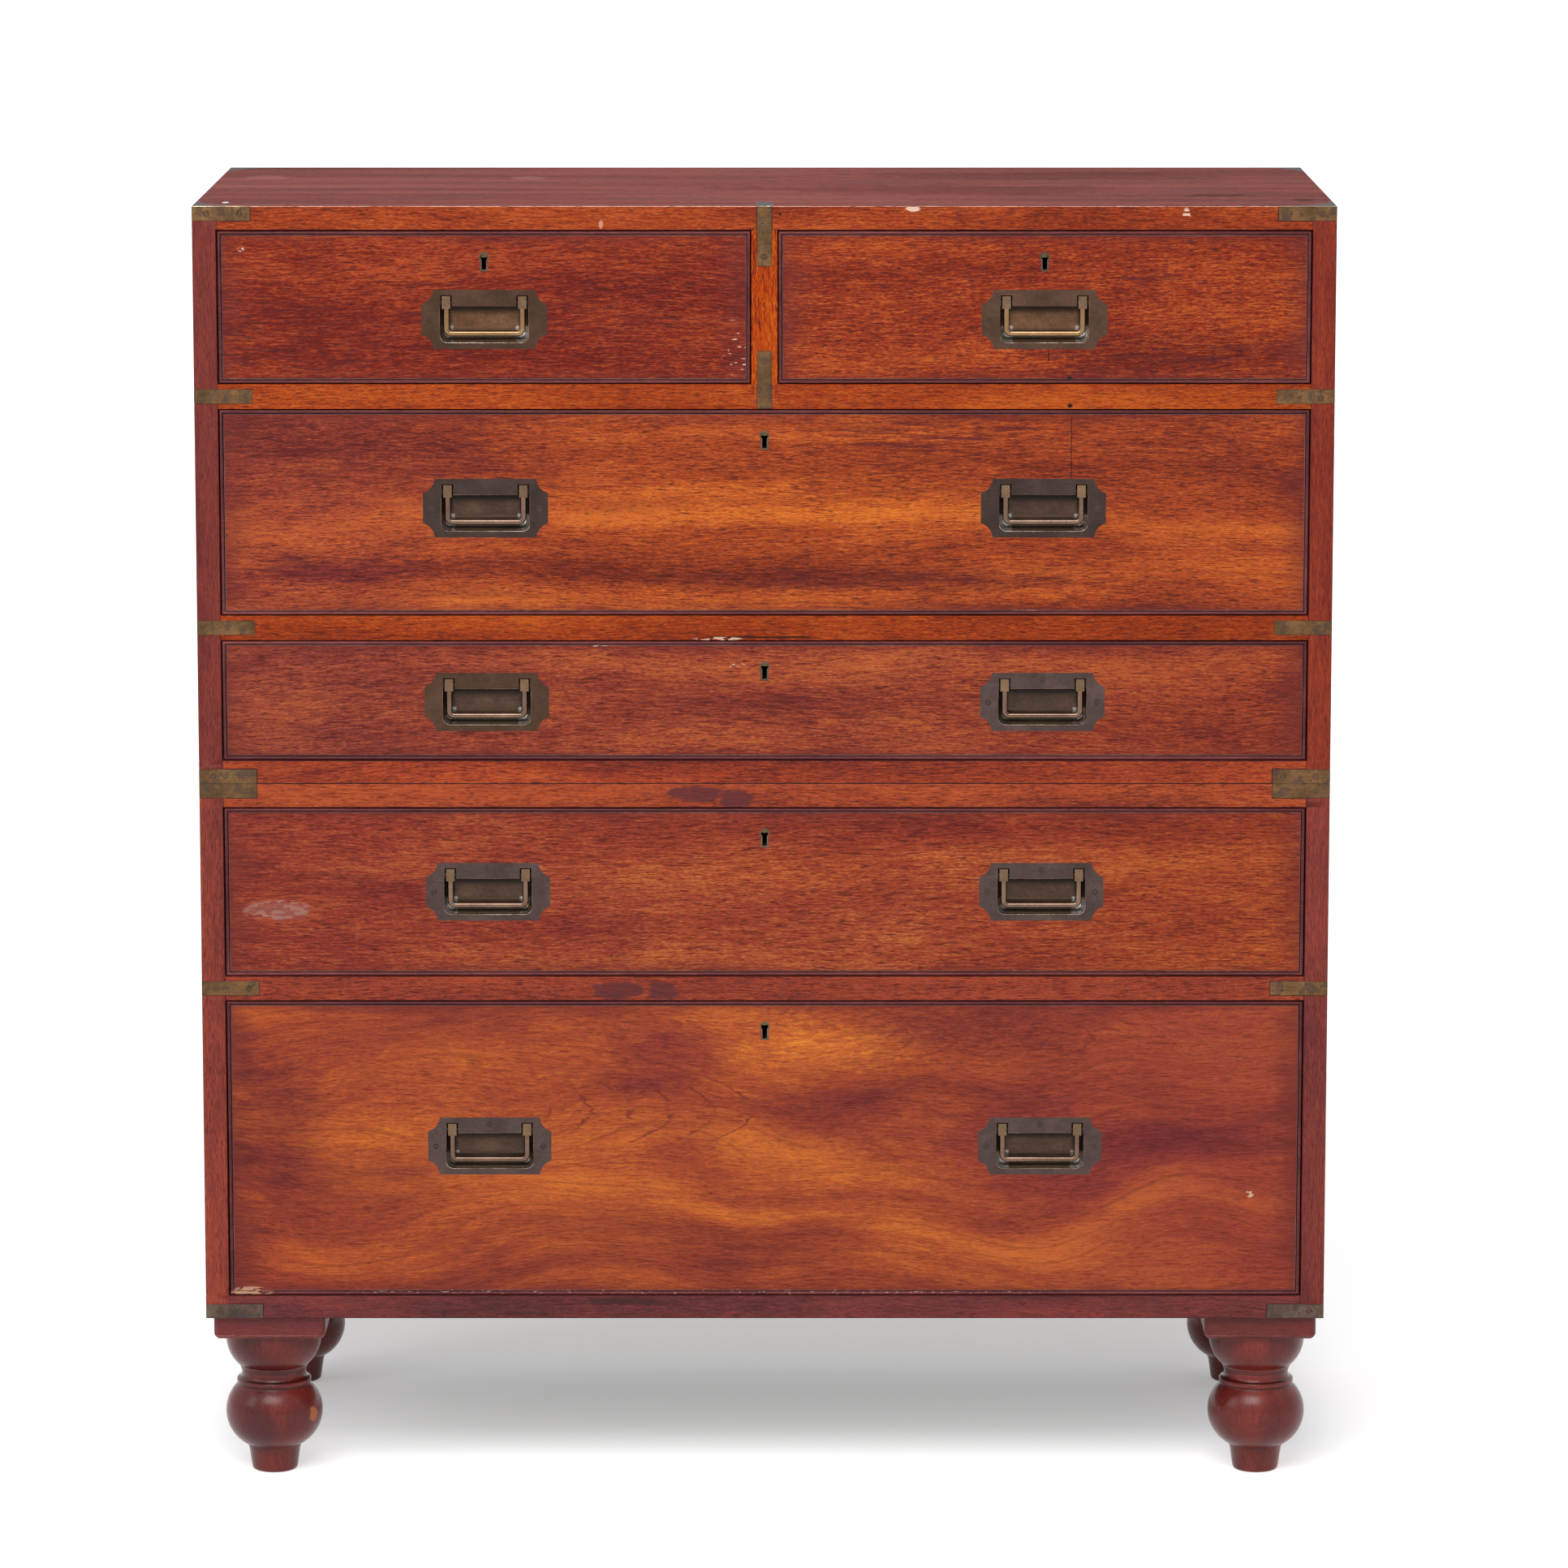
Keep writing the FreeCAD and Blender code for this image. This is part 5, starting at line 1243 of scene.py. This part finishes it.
def bail_master():
    path = [((-BAIL_SIDE, 0.0), (0, -1)), ((-BAIL_SIDE, -(DROP - BEND)), (0, -1))]
    for side, start in ((-1, 180), (1, 270)):
        across, up = side * (BAIL_SIDE - BEND), -(DROP - BEND)
        for step in range(1, 8):
            turn = math.radians(start + 90 * step / 8)
            point = (across + BEND * math.cos(turn), up + BEND * math.sin(turn))
            path.append((point, (-math.sin(turn), math.cos(turn))))
        if side < 0:
            path.append(((across, up - BEND), (1, 0)))
            path.append(((-across, up - BEND), (1, 0)))
    path += [((BAIL_SIDE, -(DROP - BEND)), (0, 1)), ((BAIL_SIDE, 0.0), (0, 1))]
    work = bmesh.new()
    loops = []
    for (x, z), (run, rise) in path:
        ring = []
        for step in range(16):
            turn = 2 * math.pi * step / 16
            out, deep = ROD * math.cos(turn), ROD * math.sin(turn)
            ring.append(work.verts.new(Vector((x - rise * out, deep, z + run * out)) * MM))
        loops.append(ring)
    skin(work, loops)
    for side in (-1, 1):
        block = bmesh.ops.create_cube(work, size=1.0)["verts"]
        bmesh.ops.scale(work, verts=block, vec=Vector(KNUCKLE) * MM)
        edges = {e for v in block for e in v.link_edges}
        made = bmesh.ops.bevel(
            work, geom=list(edges), offset=0.45 * MM, segments=2, profile=0.6, affect="EDGES", material=1
        )
        whole = {v for f in made["faces"] for v in f.verts} | {v for v in block if v.is_valid}
        give_faces(whole, 1)
        bmesh.ops.translate(work, verts=list(whole), vec=Vector((side * BAIL_SIDE, 0, 0)) * MM)
        pin = bmesh.ops.create_cone(
            work, cap_ends=True, segments=12, radius1=PIN_RADIUS * MM, radius2=PIN_RADIUS * MM, depth=PIN_LENGTH * MM
        )
        turned = Matrix.Translation(Vector((side * BAIL_SIDE, 0, 0)) * MM) @ Matrix.Rotation(math.pi / 2, 4, "Y")
        bmesh.ops.transform(work, matrix=turned, verts=pin["verts"])
        give_faces(pin["verts"], 2)
    return as_mesh(work, "bail")


bail = bail_master()
for drawer, side, several, x, z in handles():
    work = bmesh.new()
    add_copy(work, bail, (x, FACE + AXIS_DEEP, z + AXIS_UP))
    body = f"{drawer}_{side}_bail" if several else f"{drawer}_bail"
    looks = [BRASS[look] for look in ("bail" if several else "bail_olive", "knuckle", "strap_edge")]
    stand_in(to_object(work, f"{body}_rod", looks, 50), body, "bail_brass", body)
print("bail faces:", len(bail.polygons))

# %% [markdown]
# ## Keyholes and locks
#
# A thin brass liner is pressed into each keyhole to stop the key from chewing the wood. It has the keyhole's
# own outline twice, one inside the other. The steel-and-brass lock behind it is only seen when the drawer
# is open, so it keeps the shape of the solid and has its edges eased.

# %% The keyhole's outline
KEY_OUTER, KEY_INNER, LINER_BACK = (4.6, 6.8, 12.4), (3.1, 3.8, 10.9), -208.5


def keyhole(radius, slot, drop):
    """A round with a square-ended slot hanging from it, always in the same number of points."""
    half = slot / 2
    meet = math.degrees(math.asin(half / radius))
    return arc(0, 0, radius, -90 + meet, 270 - meet, 20) + [(-half, -drop), (half, -drop)]


for drawer, spread in DRAWERS.items():
    x, z = spread["key"]
    work = eased_mesh(f"{drawer}_lock", 0.25, 1)
    liner = [v for v in work.verts if v.co.y < LINER_BACK * MM]
    grown = set(liner)
    while True:
        more = {e.other_vert(v) for v in grown for e in v.link_edges} - grown
        if not more:
            break
        grown |= more
    deepest = max(v.co.y for v in grown)
    bmesh.ops.delete(work, geom=list(grown), context="VERTS")
    # The faces of the lock right behind the keyhole are nearly black: painted shade for the dark inside of the drawer.
    for face in work.faces:
        off = face.calc_center_median() / MM - Vector((x, 0, z))
        face.material_index = 2 if abs(off.x) < 8 and abs(off.z) < 17 else 0
    loops = []
    for (radius, slot, drop), grown_by, y in (
        (KEY_OUTER, 0, deepest / MM), (KEY_OUTER, 0, FACE + 0.15), (KEY_OUTER, -0.15, FACE - 0.12),
        (KEY_INNER, 0.2, FACE - 0.12), (KEY_INNER, 0, FACE + 0.25), (KEY_INNER, 0, deepest / MM),
    ):
        outline = keyhole(radius + grown_by, slot + grown_by, drop + grown_by)
        loops.append([work.verts.new(Vector((x + a, y, z + b)) * MM) for a, b in outline])
    first = len(work.faces)
    skin(work, loops + [loops[0]], caps=False)
    work.faces.ensure_lookup_table()
    for face in work.faces[first:]:
        face.material_index = 1
    made = to_object(work, f"{drawer}_lock_and_liner", [BRASS["lock"], BRASS["liner"], BRASS["groove"]], 40)
    stand_in(made, drawer, "lock_brass", f"{drawer}_lock")
    finish_node(f"{drawer}_bolt", BRASS["lock"])
print("keyholes:", len(DRAWERS))

# %% [markdown]
# ## Straps let in at the corners
#
# The corners of a travelling chest take the knocks, so flush brass straps run round them and over the
# joints between drawers. They are level with the wood, and their colour is more golden at the top than at
# the floor. Their solids are right, so they only need eased edges and their screws.

# %% Straps with their screws
def strap_screws(*levels):
    """Two screws in the front of each strap, at both ends of the given levels."""
    return [(side * (HALF_WIDTH - inset), z) for z in levels for side in (-1, 1) for inset in (41.3, 12.6)]


CENTRE_SCREWS = [(0, 1123.0), (0, 1094.5), (0, 1003.2), (0, 975.2)]
UPPER_SCREWS = strap_screws(1131.7, 971.15, 769.65, 638.1) + CENTRE_SCREWS
LOWER_SCREWS = strap_screws(625.1, 449.05, 157.5)
for node, body, screws in (
    ("upper_straps", "upper_case", UPPER_SCREWS),
    ("lower_straps", "lower_case", LOWER_SCREWS),
):
    work = eased_mesh(node, 0.3, 1)
    for vert in work.verts:
        if vert.co.y < (FRONT + 0.1) * MM:
            vert.co.y += 0.12 * MM
    for face in work.faces:
        middle = face.calc_center_median() / MM
        face.material_index = 1 if middle.z < 200 else 0
        # Small edge faces are dark brass, but along the top front edge they take the bright rim brass as a painted
        # highlight.
        if face.calc_area() < 1e-4 and abs(face.normal.y) < 0.95 and abs(face.normal.x) < 0.95:
            face.material_index = 5 if middle.z > TOP - 1 and middle.y < FACE + 0.5 else 2
        if abs(middle.z - JOINT) < 0.6:
            face.material_index = 4
        elif face.normal.z > 0.9:
            face.material_index = 6
    for x, z in screws:
        add_copy(work, screw, (x, FRONT + 0.09, z), chance.uniform(0, math.pi))
    looks = ("strap", "strap_low", "strap_edge", "screw_strap", "groove", "rim", "strap_top")
    made = to_object(work, f"{node}_and_screws", [BRASS[look] for look in looks], 35)
    stand_in(made, body, "strap_brass", node)
print("strap screws:", len(UPPER_SCREWS + LOWER_SCREWS))

# %% [markdown]
# ## Turned feet
#
# Each foot was turned on a lathe: an ankle, a ball, a ring, a waist and a bowl. A lathe is a profile spun
# about an axis, and that is how it is built here, with the curves drawn finely and every bead and groove
# of the turning in the profile. The grain of the post runs up through it.

# %% The profile, from the sole up
FOOT_AXES = [(x, y) for x in (-440, 440) for y in (-160.5, 160.5)]
FOOT_PROFILE = (
    [(0, 0), (17.2, 0)]
    + arc(17.2, 3.3, 3.3, -80, -10, 5)
    + [(21.2, 8), (22.0, 14), (23.0, 20), (24.4, 24.0), (25.8, 24.4)]
    + arc(9, 54.2, 34.2, -60.2, 46.0, 30)
    + [(32.6, 79.4), (32.6, 80.2), (33.1, 81.0), (33.1, 83.6), (32.5, 84.4)]
    + [(31.0, 84.9), (29.6, 86.0), (28.7, 88.2), (28.5, 92.4), (29.3, 92.7), (29.3, 94.4), (30.1, 94.7), (30.8, 96.4)]
    + arc(9.5, 122, 33, -49.5, 0, 14)
    + [(42.5, FOOT_TOP), (0, FOOT_TOP)]
)


def lathe(work, x, y, profile, around=56):
    """Spins the profile about an upright axis; its first and last points lie on the axis."""
    rings = []
    turns = [2 * math.pi * k / around for k in range(around)]
    for radius, z in profile:
        if radius == 0:
            rings.append([work.verts.new(Vector((x, y, z)) * MM)])
            continue
        spun = [Vector((radius * math.cos(t), radius * math.sin(t), z)) for t in turns]
        rings.append([work.verts.new((Vector((x, y, 0)) + place) * MM) for place in spun])
    for low, high in zip(rings, rings[1:]):
        for k in range(around):
            after = (k + 1) % around
            if len(low) == 1:
                work.faces.new((low[0], high[after], high[k]))
            elif len(high) == 1:
                work.faces.new((low[k], low[after], high[0]))
            else:
                work.faces.new((low[k], low[after], high[after], high[k]))


work = bmesh.new()
for x, y in FOOT_AXES:
    lathe(work, x, y, FOOT_PROFILE)
bmesh.ops.recalc_face_normals(work, faces=work.faces)
feet = stand_in(to_object(work, "turned_feet", [WOODS["foot"]], 30), "lower_case", "foot_mahogany", "feet")
print("foot faces:", len(feet.data.polygons))

# %% [markdown]
# ## Camera, floor and light
#
# A long lens a few metres away keeps the front of the chest almost square, as in a catalogue. The light
# is one large soft panel above and in front, a weaker one from the left, and an even white surround. The
# floor gives off a little light of its own, but only where it is seen, so that it reads as white paper
# while the shadow under the chest stays soft and grey.

# %% Camera
CAMERA_FROM_FRONT, CAMERA_HEIGHT, CAMERA_PITCH = 6.0, 1.637, 0.157
FOCAL_LENGTH, PICTURE_WIDTH, SENSOR = 8555, 1932, 36.0
camera_data = bpy.data.cameras.new("catalogue_camera")
camera_data.sensor_width = SENSOR
camera_data.lens = FOCAL_LENGTH / PICTURE_WIDTH * SENSOR
camera_data.shift_y = -0.04
camera_data.clip_end = 200.0
camera = bpy.data.objects.new("catalogue_camera", camera_data)
camera.location = (0.017, FRONT * MM - CAMERA_FROM_FRONT, CAMERA_HEIGHT)
camera.rotation_euler = (math.pi / 2 - CAMERA_PITCH, 0, 0)
bpy.context.scene.collection.objects.link(camera)
bpy.context.scene.camera = camera
print("lens, mm:", round(camera_data.lens, 1))

# %% Floor
GLOW_NEAR, GLOW_FAR = 0.29, 0.62
paper = Finish("white_paper_floor", shine=0.0)
paper.shader.inputs["Roughness"].default_value = 1.0
paper.shader.inputs["Emission Strength"].default_value = 1.0
x, y, _ = paper.axes
grain = paper.noise(paper.place(), 40, 3.0, 0.5)
open_side = x.size().within(0.40, 0.56)
before = 1 - y.within(-0.24, 0.16)
behind = y.within(0.45, 1.3)
clear = open_side.highest(before).highest(behind)
away = (x ** 2 + y ** 2).within(1.5, 9.0)
glow = paper.seen() * (GLOW_NEAR + clear * (GLOW_FAR - GLOW_NEAR) + away * (1.0 - GLOW_FAR))
paper.wear(
    base_color=paper.mix(grain, (0.86, 0.86, 0.86), (0.90, 0.90, 0.90)),
    emission_color=paper.mix(glow, (0, 0, 0), (1, 1, 1)),
)
work = bmesh.new()
bmesh.ops.create_grid(work, x_segments=8, y_segments=8, size=60)
floor = mesh_object(work, "paper_floor")
floor.data.materials.append(paper.material)
floor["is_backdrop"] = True

# %% World and lamps
world = bpy.data.worlds.new("studio")
bpy.context.scene.world = world
world.use_nodes = True
FILL_LIGHT, SEEN_LIGHT = 0.40, 1.0
background = world.node_tree.nodes["Background"]
studio = Nodes(world.node_tree)
studio.give(background.inputs["Color"], (1, 1, 1))
studio.give(background.inputs["Strength"], studio.seen() * (SEEN_LIGHT - FILL_LIGHT) + FILL_LIGHT)


def panel(name, place, target, size, power):
    lamp = bpy.data.lights.new(name, "AREA")
    lamp.shape, lamp.size, lamp.size_y, lamp.energy = "RECTANGLE", size[0], size[1], power
    made = bpy.data.objects.new(name, lamp)
    made.location = place
    made.rotation_euler = (Vector(target) - Vector(place)).to_track_quat("-Z", "Y").to_euler()
    bpy.context.scene.collection.objects.link(made)


panel("soft_panel_above", (-0.5, -3.1, 3.3), (0, 0, 0.4), (2.6, 1.6), 105)
panel("soft_panel_left", (-3.4, -1.8, 2.2), (0, 0, 0.5), (1.4, 1.8), 20)
bpy.context.scene.view_settings.view_transform = "Standard"

# %% Print the size of the dressed chest
low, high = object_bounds()
print("dressed size, mm:", [round(1000 * v, 1) for v in high - low])
